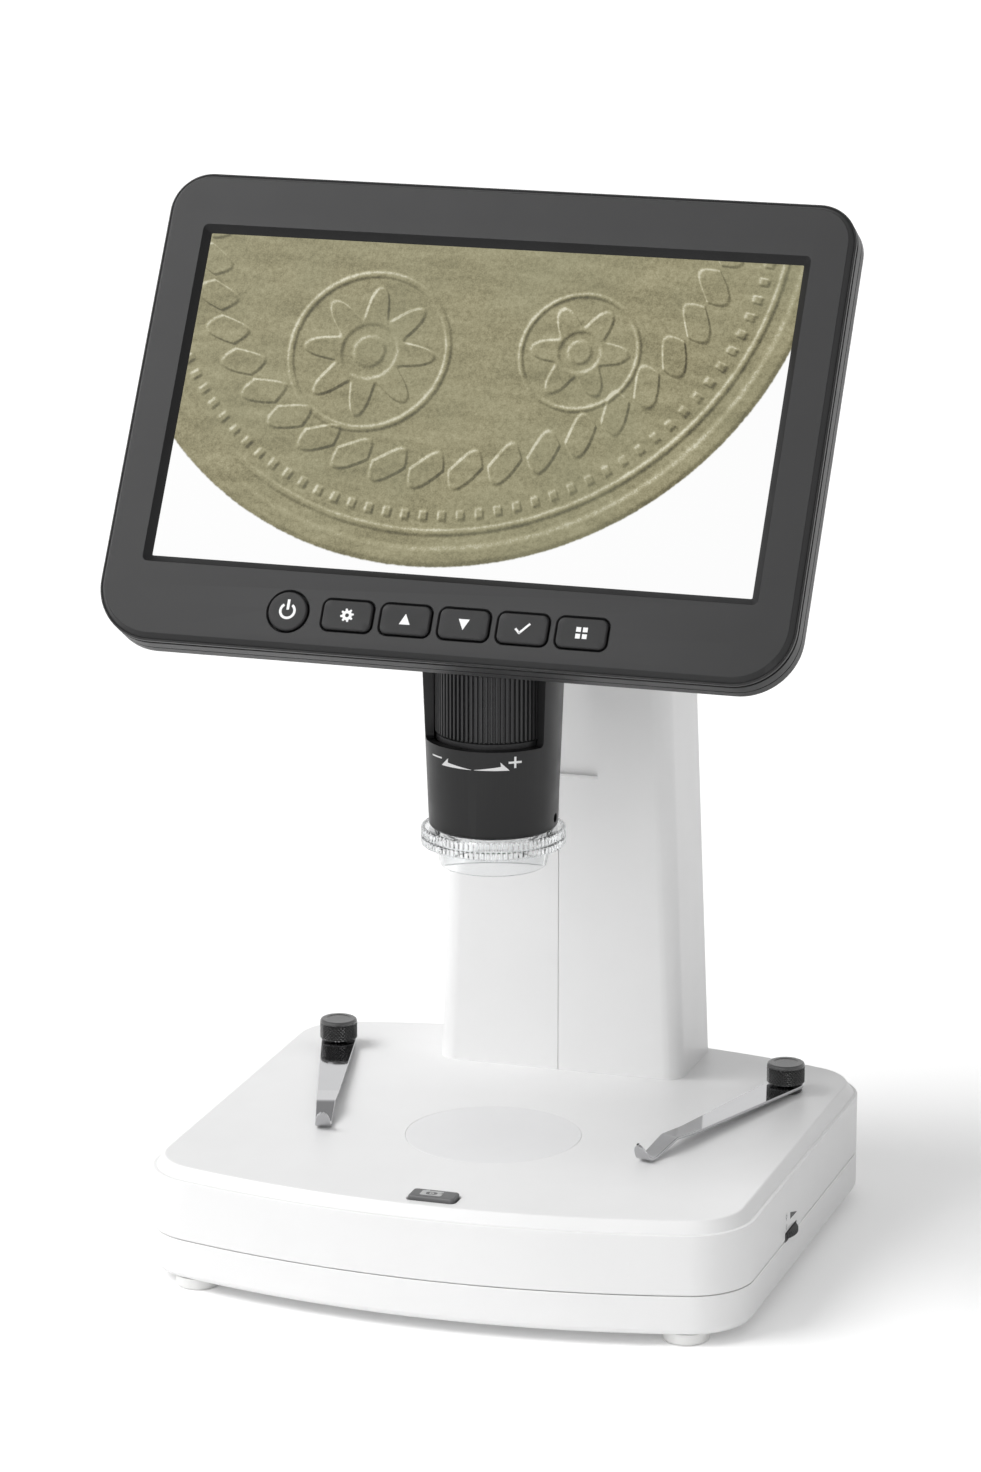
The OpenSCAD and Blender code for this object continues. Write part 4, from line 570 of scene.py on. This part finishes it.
def feet():
    """Four light rubber feet with a round lower edge and a neck up into the tray."""
    path = rounded([(3.6, 0.25, 0), (4.2, 0, 0.3), (6.0, 0, 0.9), (6.0, 3.0, 0.1), (2.4, 3.0, 0),
                    (2.4, 5.2, 0)], 5)
    for name, x, y in (("front_left", -64.3, -60.2), ("front_right", 64.3, -60.2),
                       ("rear_left", -64.3, 60.2), ("rear_right", 64.3, 60.2)):
        make("rubber_foot_" + name, turned(path, 64, x, y), "light_rubber", "base", ("foot_" + name,))


def diffuser():
    """The milky disc in the stage."""
    path = rounded([(8, DISC_SEAT, 0), (DISC_R, DISC_SEAT, 0.1), (DISC_R, BASE_TOP, 0.1),
                    (8, BASE_TOP, 0)], 5)
    make("diffuser_disc", turned(path, 128, 0, LENS_Y), "diffuser", "base", ("stage_diffuser",))


def snapshot_key():
    """The snapshot button with its flange, soft edges and a camera sign."""
    path = rounded([(-1, 28.3, 0), (-1, 29.3, 0.2), (0, 29.3, 0), (0, SNAP_TOP, 0.55),
                    (1.6, SNAP_TOP, 0)], 5)
    make("snapshot_key", stacked(lambda d: block_loop(12, 5.8, 1.0, d, SNAP_X, SNAP_Y, 6), path),
         "button_grey", "snapshot_button", ("snapshot_button",))

    def on_key(u, v, h):
        return SNAP_X - 0.5 + u, SNAP_Y + v, SNAP_TOP + h
    frame_in, frame_out = block_loop(3.0, 2.1, 1.02, 0, 0, -0.1), block_loop(5.6, 3.3, 0.5)
    lens_in, lens_out = circle_loop(0.28, 24, 0, -0.1), circle_loop(0.62, 24, 0, -0.1)
    bump = [(-2.2, 1.6), (-1.0, 1.6)], [(-2.0, 2.05), (-1.2, 2.05)]
    strips = [(a + a[:1], b + b[:1]) for a, b in ((frame_in, frame_out), (lens_in, lens_out))]
    printed("snapshot_sign", strips + [bump], on_key, "snapshot_button", "button_grey", "print_pale")


def side_marks():
    """Marks by the brightness wheel and over the sockets."""
    def on_side(u, v, h):
        return BASE_W / 2 + h - 0.01, u, v
    ramp = [(-16.1, 17.9), (-9.9, 17.75)], [(-16.1, 19.7), (-9.9, 17.9)]
    printed("brightness_ramp", [ramp], on_side, "base", "white_plastic", "print_dark", 0.03)
    lamps, lamp_y, half_ray = [], -19.8, 0.06
    for z, size in ((19.7, 0.62), (16.9, 0.45)):
        ring = circle_loop(size, 20, lamp_y, z), circle_loop(size * 0.6, 20, lamp_y, z)
        lamps.append((ring[0] + ring[0][:1], ring[1] + ring[1][:1]))
        lamps.append(([(-20.1, z - size - 0.35), (-19.5, z - size - 0.35)],
                      [(-20.1, z - size - 0.1), (-19.5, z - size - 0.1)]))
        for k in range(5):
            a = math.radians(90 + (k - 2) * 42)
            ray = []
            for r in (size + 0.18, size + 0.42):
                y, up = lamp_y + r * math.cos(a), z + r * math.sin(a)
                ray.append([(y - half_ray, up), (y + half_ray, up)])
            lamps.append(ray)
    printed("brightness_lamps", lamps, on_side, "base", "white_plastic", "print_grey", 0.03)

    def on_left(u, v, h):
        return -BASE_W / 2 - h + 0.01, u, v
    plug = [([(47.6, 21.6), (49.4, 21.6)], [(47.6, 22.8), (49.4, 22.8)]),
            ([(49.4, 21.8), (51.4, 22.1)], [(49.4, 22.6), (51.4, 22.3)]),
            ([(51.4, 22.05), (53.2, 22.05)], [(51.4, 22.35), (53.2, 22.35)])]
    card = [([(36.9, 20.8), (40.0, 20.8)], [(36.9, 23.4), (39.2, 23.4)]),
            ([(39.2, 22.7), (40.0, 22.7)], [(39.2, 23.4), (39.25, 23.4)])]
    printed("socket_marks", plug + card, on_left, "base", "white_plastic", "print_grey", 0.03)


def brightness_dial():
    """The brightness wheel, its edge cut into fine teeth."""
    count, teeth, bore, edge = 240, 60, 1.55, 0.45
    toothed = []
    for k in range(count):
        a = math.tau * k / count
        r = DIM_R - 0.3 * (0.5 - 0.5 * math.cos(teeth * a))
        toothed.append((DIM_X + r * math.cos(a), DIM_Y + r * math.sin(a)))
    smooth = circle_loop(DIM_R - edge, count, DIM_X, DIM_Y)
    edges = ((smooth, DIM_LOW), (toothed, 14.0), (toothed, 15.0), (smooth, DIM_HIGH))
    rings = [lifted(loop, z) for loop, z in edges]
    hole = [lifted(circle_loop(bore, count, DIM_X, DIM_Y), z) for z in (DIM_HIGH, DIM_LOW)]
    make("brightness_dial", loft(rings + hole, True), "black_plastic", "brightness_wheel",
         ("brightness_wheel",), degrees=50)


# ---------- clips ----------

def clip(side, name):
    """A spring-steel clip: a flat strip with a knee, a pressing foot and a round upturned tip."""
    path = rounded([(-4.7, 33.4, 0), (2, 33.4, 20), (47, 34.35, 14), (57.4, 35.2, 4.5), (66.6, 32.6, 3.0),
                    (70.0, 32.6, 3.2), (72.8, 37.7, 0)], 6)
    length, wide, narrow, thick, edge, pitch, least = 72.6, 4.7, 1.9, 0.8, 0.14, 0.35, 0.3
    stations = []
    for (x0, z0), (x1, z1) in zip(path, path[1:]):
        pieces = max(1, int(math.dist((x0, z0), (x1, z1)) / pitch))
        stations += [(x0 + (x1 - x0) * k / pieces, z0 + (z1 - z0) * k / pieces) for k in range(pieces)]
    stations.append(path[-1])
    angle = math.radians(-90 - side * CLIP_REST)
    rings = []
    for i, (x, z) in enumerate(stations):
        before, after = stations[max(i - 1, 0)], stations[min(i + 1, len(stations) - 1)]
        along = (Vector(after) - Vector(before)).normalized()
        half = wide + (narrow - wide) * max(x, 0) / length
        if x < 0:
            half = math.sqrt(max(wide ** 2 - x ** 2, least ** 2))
        if x > length - narrow:
            half = math.sqrt(max(narrow ** 2 - (x - length + narrow) ** 2, least ** 2))
        section = [(-half, edge), (-half, thick - edge), (-half + edge, thick), (half - edge, thick),
                   (half, thick - edge), (half, edge), (half - edge, 0), (-half + edge, 0)]
        ring = []
        for across, up in section:
            px, pz = x - along.y * up, z + along.x * up
            ring.append((side * PIVOT_X + px * math.cos(angle) - across * math.sin(angle),
                         PIVOT_Y + px * math.sin(angle) + across * math.cos(angle), pz))
        rings.append(ring)
    hole = turned([(2.1, 30), (2.1, 38)], 32, side * PIVOT_X, PIVOT_Y)
    make(f"spring_clip_{name}", loft(rings), "polished_steel", f"clip_{name}", (f"clip_{name}",),
         tools=[hole], degrees=28)
    washer = [(2.45, 32.3), (4.1, 32.3), (4.3, 32.45), (4.3, 33.2), (4.1, 33.35), (2.45, 33.35)]
    make(f"clip_washer_{name}", turned(washer, 48, side * PIVOT_X, PIVOT_Y, True), "black_plastic",
         f"clip_{name}")


def knurled(radius, depth, columns, low, high, rows, ends):
    """A knob cut with a diamond knurl from low to high; ends are smooth (radius, height) rings."""
    n = 2 * columns
    start, stop = ends
    peaks, dips = circle_loop(radius, n), circle_loop(radius - depth, n)
    rings = [lifted(circle_loop(r, n), z) for r, z in start]
    first = len(rings)
    for j in range(rows + 1):
        loop = [dips[k] if (k + j) % 2 else peaks[k] for k in range(n)]
        rings.append(lifted(loop, low + (high - low) * j / rows))
    last = len(rings) - 1
    rings += [lifted(circle_loop(r, n), z) for r, z in stop]
    points, faces = loft(rings)
    out = []
    for face in faces:
        row = min(face) // n
        if len(face) != 4 or not first <= row < last:
            out.append(face)
            continue
        a, b, c, d = face
        even = (a % n + row - first) % 2 == 0
        out += [(a, b, d), (b, c, d)] if even else [(a, b, c), (a, c, d)]
    return points, out


def clip_knobs():
    """The two knurled nuts that hold the clips, each with its stem."""
    for side, name in ((-1, "left"), (1, "right")):
        start = [(1.2, 26.2), (2.0, 26.6), (2.0, 34.5), (4.1, 34.5), (4.75, 34.8)]
        stop = [(4.95, 39.15), (4.98, 39.5), (4.75, 39.95), (4.4, 40.1), (3.3, 40.1), (3.1, 39.98),
                (1.0, 39.98)]
        shape = knurled(5.05, 0.42, 32, 35.0, 39.0, 8, (start, stop))
        place = lambda x, y, z, s=side: (x + s * PIVOT_X, y + PIVOT_Y, z)
        make(f"clip_thumb_nut_{name}", moved(shape, place), "knob_black", f"clip_knob_{name}",
             (f"clip_knob_{name}",), degrees=20)


def height_knobs():
    """The two knurled knobs that drive the head up and down."""
    for side, name in ((-1, "left"), (1, "right")):
        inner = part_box(f"height_knob_{name}")
        start_x = min(abs(inner[0].x), abs(inner[1].x)) / MM
        middle = (inner[0] + inner[1]) / 2 / MM
        start = [(3.0, 0), (6.0, 0), (6.2, 0.2), (6.2, 1.5), (9.0, 1.6), (9.7, 2.0)]
        stop = [(9.75, 10.5), (9.85, 10.9), (9.5, 11.6), (8.6, 12.0), (6.6, 12.0), (6.2, 11.75),
                (2.0, 11.75)]
        shape = knurled(10.0, 0.5, 50, 2.3, 10.2, 12, (start, stop))
        place = lambda x, y, z, s=side, x0=start_x, m=middle: (s * (x0 + z), m.y + y, m.z + x)
        make(f"height_dial_{name}", moved(shape, place), "knob_black", "height_drive",
             (f"height_knob_{name}",), degrees=20)


# ---------- barrel ----------

def barrel_radius(z):
    """The barrel's outer radius at a height."""
    return BARREL_R + BARREL_GROW * (z - BARREL_LOW) / (BARREL_HIGH - BARREL_LOW)


def through_side(x, y, z):
    """From a shape turned round z to the grub screw's place in the barrel's right side."""
    return z, LENS_Y + x, GRUB_Z + y


def barrel():
    """The tapered black barrel with its window, its inner shelf and a small screw hole."""
    path = rounded([(13.2, BARREL_LOW, 0.3), (15.85, BARREL_LOW, 0.2), (16.32, 115.6, 0.3),
                    (18.2, BARREL_HIGH, 0.3), (15.1, BARREL_HIGH, 0.2), (15.1, 137, 0), (12.3, 137, 0.2),
                    (12.3, 134, 0.2), (13.2, 134, 0)], 3)
    half, low, high, soft, wall_r = 64.5, 138.0, 158.0, 1.2, 16.8
    window = []
    for r in (13.6, 60.0):                    # the flat ends of the cutter clear the wall
        loop = []
        for k, (sa, sz) in enumerate(((1, 1), (-1, 1), (-1, -1), (1, -1))):
            for a, z in arc(0, 0, soft, 90 * k, 90 * k + 90, 5, True):
                turn = math.radians(sa * (half - math.degrees(soft / wall_r)) + math.degrees(a / wall_r))
                loop.append((turn, (low + high) / 2 + sz * ((high - low) / 2 - soft) + z))
        fine = []
        for (a0, z0), (a1, z1) in zip(loop, loop[1:] + loop[:1]):
            steps = max(1, round(abs(a1 - a0) / math.radians(4)))
            fine += [(a0 + (a1 - a0) * s / steps, z0 + (z1 - z0) * s / steps) for s in range(steps)]
        window.append([(r * math.sin(a), LENS_Y - r * math.cos(a), z) for a, z in fine])
    hole = moved(turned([(1.25, 14.5), (1.25, 19.0)], 28), through_side)
    mesh = cut(turn_to_mesh("barrel", turned(path, 144, 0, LENS_Y, True)), [loft(window), hole])
    settle("barrel_tube", mesh, "barrel_black", "head", ("barrel_sleeve",), degrees=38)
    grub = [(0.3, 14.2), (0.3, 14.9), (0.7, 14.95), (0.7, 15.55), (1.15, 15.6), (1.2, 15.4), (1.2, 14.2)]
    make("barrel_grub_screw", moved(turned(grub, 24), through_side), "dark_steel", "head")


def barrel_print():
    """The focus signs under the window: minus, two tapering arrows and plus."""
    def on_barrel(u, v, h):
        r = barrel_radius(v) + h - 0.01
        return r * math.sin(math.radians(u)), LENS_Y - r * math.cos(math.radians(u)), v
    strips = [[[(-45 + k * 2.3, z) for k in range(7)] for z in (134.95, 135.35)]]
    for side in (-1, 1):
        steps = 16
        body = [1.2 + 23.6 * k / steps for k in range(steps + 1)]
        low = [(side * a, 133.3) for a in body]
        high = [(side * a, 133.36 + 1.0 * k / steps) for k, a in enumerate(body)]
        strips.append((low, high))
        base, slope = [], []
        for k in range(6):
            a, left = 24.8 + 6.6 * k / 5, 1 - k / 5
            base.append((side * a, 133.3))
            slope.append((side * (a - 1.2 * left), 133.34 + 2.15 * left))
        strips.append((base, slope))
    plus = [30.6 + k * 1.93 for k in range(7)]
    strips.append(([(a, 135.05) for a in plus], [(a, 135.6) for a in plus]))
    for low, high in ((133.85, 135.05), (135.6, 136.8)):
        strips.append([[(a, z) for a in (35.45, 36.4, 37.35)] for z in (low, high)])
    printed("focus_signs", strips, on_barrel, "head", "barrel_black", "print_white", 0.03)


def plain_ring(radius, z, count):
    """A round ring of points about the lens axis."""
    turns = [math.tau * k / count for k in range(count)]
    return [(radius * math.sin(a), LENS_Y - radius * math.cos(a), z) for a in turns]


def ribbed_ring(radius, depth, ribs, z, share=0.5, per=8):
    """A ring of points about the lens axis, whose radius falls by depth between ribs."""
    loop = []
    for k in range(ribs * per):
        phase = (k % per) / per
        drop = 0.0 if phase < share - 0.12 else depth
        a = math.tau * k / (ribs * per)
        loop.append(((radius - drop) * math.sin(a), LENS_Y - (radius - drop) * math.cos(a), z))
    return loop


def focus_ring():
    """The focus wheel behind the window, ribbed all round above a plain collar."""
    ribs = 72
    plain = lambda r, z: plain_ring(r, z, ribs * 8)
    rings = [plain(11.7, 137.3), plain(14.3, 137.3), plain(14.5, 137.5), plain(14.5, 139.3),
             plain(14.2, 139.5), ribbed_ring(14.5, 0.3, ribs, 139.6), ribbed_ring(14.8, 0.6, ribs, 139.9),
             ribbed_ring(14.8, 0.6, ribs, 156.7), ribbed_ring(14.5, 0.3, ribs, 157.2), plain(14.0, 157.2),
             plain(11.7, 157.2)]
    make("focus_ring", loft(rings, True), "black_plastic", "focus_wheel", ("focus_wheel",), degrees=30)


def shroud():
    """The clear shroud: a rim with two rows of teeth over a thin tapering cup."""
    ribs, per = 84, 6
    plain = lambda r, z: plain_ring(r, z, ribs * per)
    teeth = lambda r, z: ribbed_ring(r, 0.6, ribs, z, 0.55, per)
    rings = [plain(12.4, 104.9), plain(12.5, 104.8), plain(13.4, 104.8), plain(13.62, 105.0),
             plain(14.6, 109.6), plain(14.9, 110.0), plain(17.5, 110.15), teeth(18.2, 110.35),
             teeth(18.3, 110.5), teeth(18.3, 112.1), plain(17.5, 112.2), plain(17.5, 112.5),
             teeth(18.3, 112.6), teeth(18.3, 114.3), teeth(18.1, 114.55), plain(17.4, 114.68),
             plain(13.05, 114.7), plain(13.05, 118.5), plain(12.9, 118.7), plain(12.4, 118.7)]
    make("shroud_ring", loft(rings, True), "clear_plastic", "light_shroud", ("light_shroud",), degrees=30)


# ---------- screen ----------

def housing_loop(inset):
    """The outline of the screen's housing, whose upper corners are tighter than its lower ones."""
    loop = []
    for k, (sx, sy) in enumerate(((1, 1), (-1, 1), (-1, -1), (1, -1))):
        r = max((TOP_CORNER if sy > 0 else LOW_CORNER) - inset, 0.02)
        w, h = SCREEN_W / 2 - inset - r, SCREEN_H / 2 - inset - r
        loop += arc(sx * w, SCREEN_MID + sy * h, r, 90 * k, 90 * k + 90, 18, True)
    return loop


def tighten(mesh):
    """Draws the upper corners of the rear shell's copy out to the housing's outline."""
    extra = LOW_CORNER - TOP_CORNER
    rise = UP_SCREEN[1:]
    for vertex in mesh.vertices:
        x, y, z = vertex.co / MM
        up = (y - HINGE_Y) * rise[0] + (z - HINGE_Z) * rise[1] - PICTURE_UP
        dx, dy = abs(x) - SCREEN_W / 2 + LOW_CORNER, up - SCREEN_MID - SCREEN_H / 2 + LOW_CORNER
        reach = math.hypot(dx, dy)
        if dx <= 0 or dy <= 0 or reach < CORNER_KEEP:
            continue
        ux, uy = dx / reach, dy / reach
        both = extra * (ux + uy)
        far = both + math.sqrt(both ** 2 - 2 * extra ** 2 + TOP_CORNER ** 2)
        for along, over in ((ux, uy), (uy, ux)):
            if LOW_CORNER * over <= extra * along:
                far = LOW_CORNER / along
        part = min(1.0, (reach - CORNER_KEEP) / (LOW_CORNER - 1 - CORNER_KEEP))
        grow = (far / LOW_CORNER - 1) * part
        vertex.co += Vector((math.copysign(dx * grow, x), dy * grow * rise[0], dy * grow * rise[1])) * MM


def bezel():
    """The front of the screen housing: chamfer, raised rim, groove, picture opening and key holes."""
    path = rounded([(10, 0, 0), (2.2, 0, 0.3), (2.2, -5.5, 0), (0, -5.5, 0.3), (0, -1.9, 0.12),
                    (0.5, -1.9, 0), (0.5, -1.0, 0), (0, -1.0, 0.15), (0, 0.2, 0.28), (0.42, 0.2, 0.12),
                    (0.5, 0.05, 0.05), (1.62, 1.6, 0.3), (10, 1.6, 0)], 4)
    opening = []
    for grow, z in ((0, -2), (0, 0.1), (1.62, 1.42), (1.95, 1.62), (1.95, 3)):
        loop = block_loop(LCD_W + 2 * grow, LCD_H + 2 * grow, 0.25 + grow * 0.6, steps=4)
        opening.append(lifted(loop, z))
    cuts = [loft(opening)]
    for k in range(5):
        hole = lambda d, x=key_x(k): block_loop(13.3, 8.3, 2.1, d, x, KEY_Y, 8)
        cuts.append(stacked(hole, [(0, -2), (0, 1.3), (-0.3, 1.62), (-0.3, 3)]))
    cuts.append(turned([(5.35, -2), (5.35, 1.3), (5.65, 1.62), (5.65, 3)], 72, POWER_X, KEY_Y))
    mesh = cut(turn_to_mesh("bezel", stacked(housing_loop, path)), cuts)
    for vertex in mesh.vertices:
        vertex.co = [c * MM for c in on_screen(*(v / MM for v in vertex.co))]
    mesh.update()
    settle("bezel_front", mesh, "screen_grey", "screen", ("screen_bezel",), degrees=24)
    # painted shade on the slopes round the picture opening
    paint_opening_shade(mesh)


def paint_opening_shade(mesh):
    """Paints shade on the slopes round the bezel's opening: they get a darker copy of the bezel's finish.
    """
    # the second slot holds the painted shade, a darker copy of the bezel's finish
    mesh.materials.append(FINISH["screen_edge"])
    origin = Vector(on_screen(0, 0, 0))
    outward, upward = Vector(on_screen(0, 0, 1)) - origin, Vector(on_screen(0, 1, 0)) - origin
    middle = Vector(on_screen(0, SCREEN_MID, 0)) * MM
    half_w, half_h, flat, least = 79.5, 48.5, 0.93, 0.1
    for face in mesh.polygons:
        away = (face.center - middle) / MM
        inside = abs(away.x) < half_w and abs(away.dot(upward)) < half_h
        if inside and face.normal.dot(outward) < flat and away.dot(outward) > least:
            face.material_index = 1


def key_x(index):
    """Middle of the key with this index in the row of five."""
    return KEY_MIDDLE + (index - 2) * KEY_PITCH


KEYS = ("menu_key", "up_key", "down_key", "confirm_key", "mode_key")


def keys():
    """The six keys, each with a flange behind the bezel and a softly rounded face."""
    path = rounded([(-0.9, -1.2, 0), (-0.9, -0.3, 0.2), (0, -0.3, 0), (0, KEY_TOP, 0.5),
                    (2.2, KEY_TOP, 0)], 6)
    for k, name in enumerate(KEYS):
        loop = lambda d, x=key_x(k): block_loop(12.7, 7.7, 1.8, d, x, KEY_Y, 10)
        make(name + "_cap", moved(stacked(loop, path), on_screen), "key_rubber", name, (name,))
    turn = [(5.05 - d, z) for d, z in path]
    make("power_key_cap", moved(turned(turn, 72, POWER_X, KEY_Y), on_screen), "key_rubber", "power_key",
         ("power_key",))


def ring_strip(x, y, inner, outer, start, end, steps=40):
    """Part of a ring between two angles."""
    return arc(x, y, inner, start, end, steps, True), arc(x, y, outer, start, end, steps, True)


def bar_strip(x0, y0, x1, y1, width):
    """A straight stroke from one point to another."""
    along = Vector((x1 - x0, y1 - y0)).normalized() * (width / 2)
    side = (-along.y, along.x)
    return ([(x0 - side[0], y0 - side[1]), (x1 - side[0], y1 - side[1])],
            [(x0 + side[0], y0 + side[1]), (x1 + side[0], y1 + side[1])])


def key_signs():
    """Plain signs on the keys: power, gear, two triangles, a tick and four squares."""
    def on_key(u, v, h):
        return on_screen(u, KEY_Y + v, KEY_TOP + h - 0.01)
    x = [key_x(k) for k in range(5)]
    gear = ([], [])
    for k in range(97):
        a = math.tau * k / 96
        r = 1.48 + 0.26 * math.tanh(3 * math.sin(8 * a))
        gear[0].append((x[0] + 0.5 * math.cos(a), 0.5 * math.sin(a)))
        gear[1].append((x[0] + r * math.cos(a), r * math.sin(a)))
    signs = {
        "power_key": [ring_strip(POWER_X, 0, 1.5, 2.15, 124, 416),
                      bar_strip(POWER_X, 0.3, POWER_X, 2.95, 0.68)],
        "menu_key": [gear],
        "up_key": [[[(x[1] - w, y), (x[1] + w, y)] for w, y in ((1.4, -1.25), (0.04, 1.45))]],
        "down_key": [[[(x[2] - w, y), (x[2] + w, y)] for w, y in ((0.04, -1.45), (1.4, 1.25))]],
        "confirm_key": [bar_strip(x[3] - 1.75, -0.1, x[3] - 0.55, -1.3, 0.55),
                        bar_strip(x[3] - 0.75, -1.3, x[3] + 1.8, 1.35, 0.55)],
        "mode_key": [bar_strip(x[4] + sx * 0.85 - 0.6, sy * 0.85, x[4] + sx * 0.85 + 0.6, sy * 0.85, 1.2)
                     for sx in (-1, 1) for sy in (-1, 1)],
    }
    for name, strips in signs.items():
        printed(name + "_sign", strips, on_key, name, "key_rubber", "print_white", 0.03)


def picture():
    """The lit picture in front of the display panel."""
    path = [(0.3, -0.02), (0.05, 0.0), (0.0, 0.03), (0.2, 0.06), (3, 0.06)]
    loop = lambda d: block_loop(LCD_W - 0.1, LCD_H - 0.1, 0.3, d, steps=3)
    make("picture", moved(stacked(loop, path), on_screen), "display", "screen", finish="picture")


def shells():
    """The nodes whose CAD shape stays, softened; the column's halves get a fine groove where they meet."""
    low, high = (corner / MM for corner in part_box("column_left_shell"))
    wide, deep = 0.24, 0.7
    grooves = []
    for y in (low.y, high.y):
        loop = lambda d: block_loop(wide, deep, 0.02, d, 0, y, 1)
        grooves.append(stacked(loop, [(0, low.z - 1), (0, high.z + 1)]))
    softened("column_left_shell", tools=grooves)
    softened("column_right_shell", tools=grooves)
    softened("screen_rear_shell", change=tighten)
    room_w, room_d, room_y, room_low, room_high = 50, 6, 47.25, 199, 202.99
    room = stacked(lambda d: block_loop(room_w, room_d, 0.1, d, 0, room_y, 1),
                   [(0, room_low), (0, room_high)])
    softened("column_cap", tools=[room])      # room for the carriage at the top of its travel
    for node in ("shutter_plate", "head_housing", "head_cover", "hinge_mount", "screen_bracket"):
        softened(node)


# ---------- stage, lights and camera ----------

def dress_nodes():
    """Every CAD node that stays gets its slot's finish."""
    for name, node in frame["nodes"].items():
        node.data.materials.clear()
        node.data.materials.append(FINISH[node_slot[name]])


def make_floor():
    """A pale floor, white to the camera and in reflections, that keeps the shadow."""
    material, tree, shader = new_material("floor")
    shader.inputs["Base Color"].default_value = (0.92, 0.92, 0.92, 1)
    shader.inputs["Roughness"].default_value = 0.9
    shader.inputs["Specular IOR Level"].default_value = 0.0
    path = add(tree, "ShaderNodeLightPath")
    seen = path.outputs["Is Camera Ray"]
    for other in ("Is Glossy Ray", "Is Transmission Ray"):
        seen = calc(tree, "MAXIMUM", seen, path.outputs[other])
    shader.inputs["Emission Color"].default_value = (1, 1, 1, 1)
    tree.links.new(calc(tree, "MULTIPLY", seen, FLOOR_GLOW), shader.inputs["Emission Strength"])
    h = FLOOR_HALF
    mesh = bpy.data.meshes.new("floor")
    mesh.from_pydata([(-h, -h, 0), (h, -h, 0), (h, h, 0), (-h, h, 0)], [], [(0, 1, 2, 3)])
    mesh.materials.append(material)
    floor = bpy.data.objects.new("floor", mesh)
    bpy.context.scene.collection.objects.link(floor)


def make_world():
    """Soft light from all round, white where the camera, glass and metal see it, with a dimmer ceiling."""
    world = bpy.data.worlds.new("world")
    bpy.context.scene.world = world
    world.use_nodes = True
    tree = world.node_tree
    back = tree.nodes["Background"]
    path = add(tree, "ShaderNodeLightPath")
    split = add(tree, "ShaderNodeSeparateXYZ")
    tree.links.new(add(tree, "ShaderNodeTexCoord").outputs["Generated"], split.inputs[0])
    soft = spread(tree, split.outputs["X"], WORLD_LEFT, WORLD_RIGHT, at=(-0.8, 0.8))
    ceiling = spread(tree, split.outputs["Z"], 1.0, WORLD_CEILING, at=(0.3, 0.75))
    level = spread(tree, path.outputs["Is Glossy Ray"], soft, ceiling, at=(0.0, 1.0))
    for seen in ("Is Transmission Ray", "Is Camera Ray"):
        level = spread(tree, path.outputs[seen], level, 1.0, at=(0.0, 1.0))
    back.inputs["Color"].default_value = (1, 1, 1, 1)
    tree.links.new(level, back.inputs["Strength"])


def make_sun(name, azimuth, elevation, strength, angle):
    """A soft lamp at infinity; azimuth 0 shines from the front and 90 from the right."""
    lamp = bpy.data.lights.new(name, "SUN")
    lamp.energy = strength
    lamp.angle = math.radians(angle)
    sun = bpy.data.objects.new(name, lamp)
    a, e = math.radians(azimuth), math.radians(elevation)
    towards = Vector((math.sin(a) * math.cos(e), -math.cos(a) * math.cos(e), math.sin(e)))
    sun.rotation_euler = towards.to_track_quat("Z", "Y").to_euler()
    bpy.context.scene.collection.objects.link(sun)


def make_lights():
    """A key lamp from the upper left and a weak fill from the front."""
    make_sun("key", azimuth=-57, elevation=49, strength=1.87, angle=34)
    make_sun("fill", azimuth=-12, elevation=14, strength=0.45, angle=40)


def make_camera():
    """The photograph's view, solved as a focal length in pixels of its height."""
    camera = bpy.data.cameras.new("camera")
    camera.sensor_fit = "VERTICAL"
    camera.sensor_height = SENSOR
    camera.lens = FOCAL_PIXELS * SENSOR / PHOTO_PIXELS
    camera.clip_start, camera.clip_end = 0.05, 100.0
    view = bpy.data.objects.new("camera", camera)
    view.location = CAMERA_AT
    view.rotation_euler = (math.radians(90 - CAMERA_DOWN), 0, math.radians(CAMERA_TURN))
    bpy.context.scene.collection.objects.link(view)
    bpy.context.scene.camera = view


dress_nodes()
make_floor()
make_world()
make_lights()
make_camera()
base_cover()
base_tray()
feet()
diffuser()
snapshot_key()
side_marks()
brightness_dial()
clip(-1, "left")
clip(1, "right")
clip_knobs()
height_knobs()
barrel()
barrel_print()
focus_ring()
shroud()
bezel()
keys()
key_signs()
picture()
shells()

bpy.context.scene.view_settings.view_transform = "Standard"
bpy.context.view_layer.update()
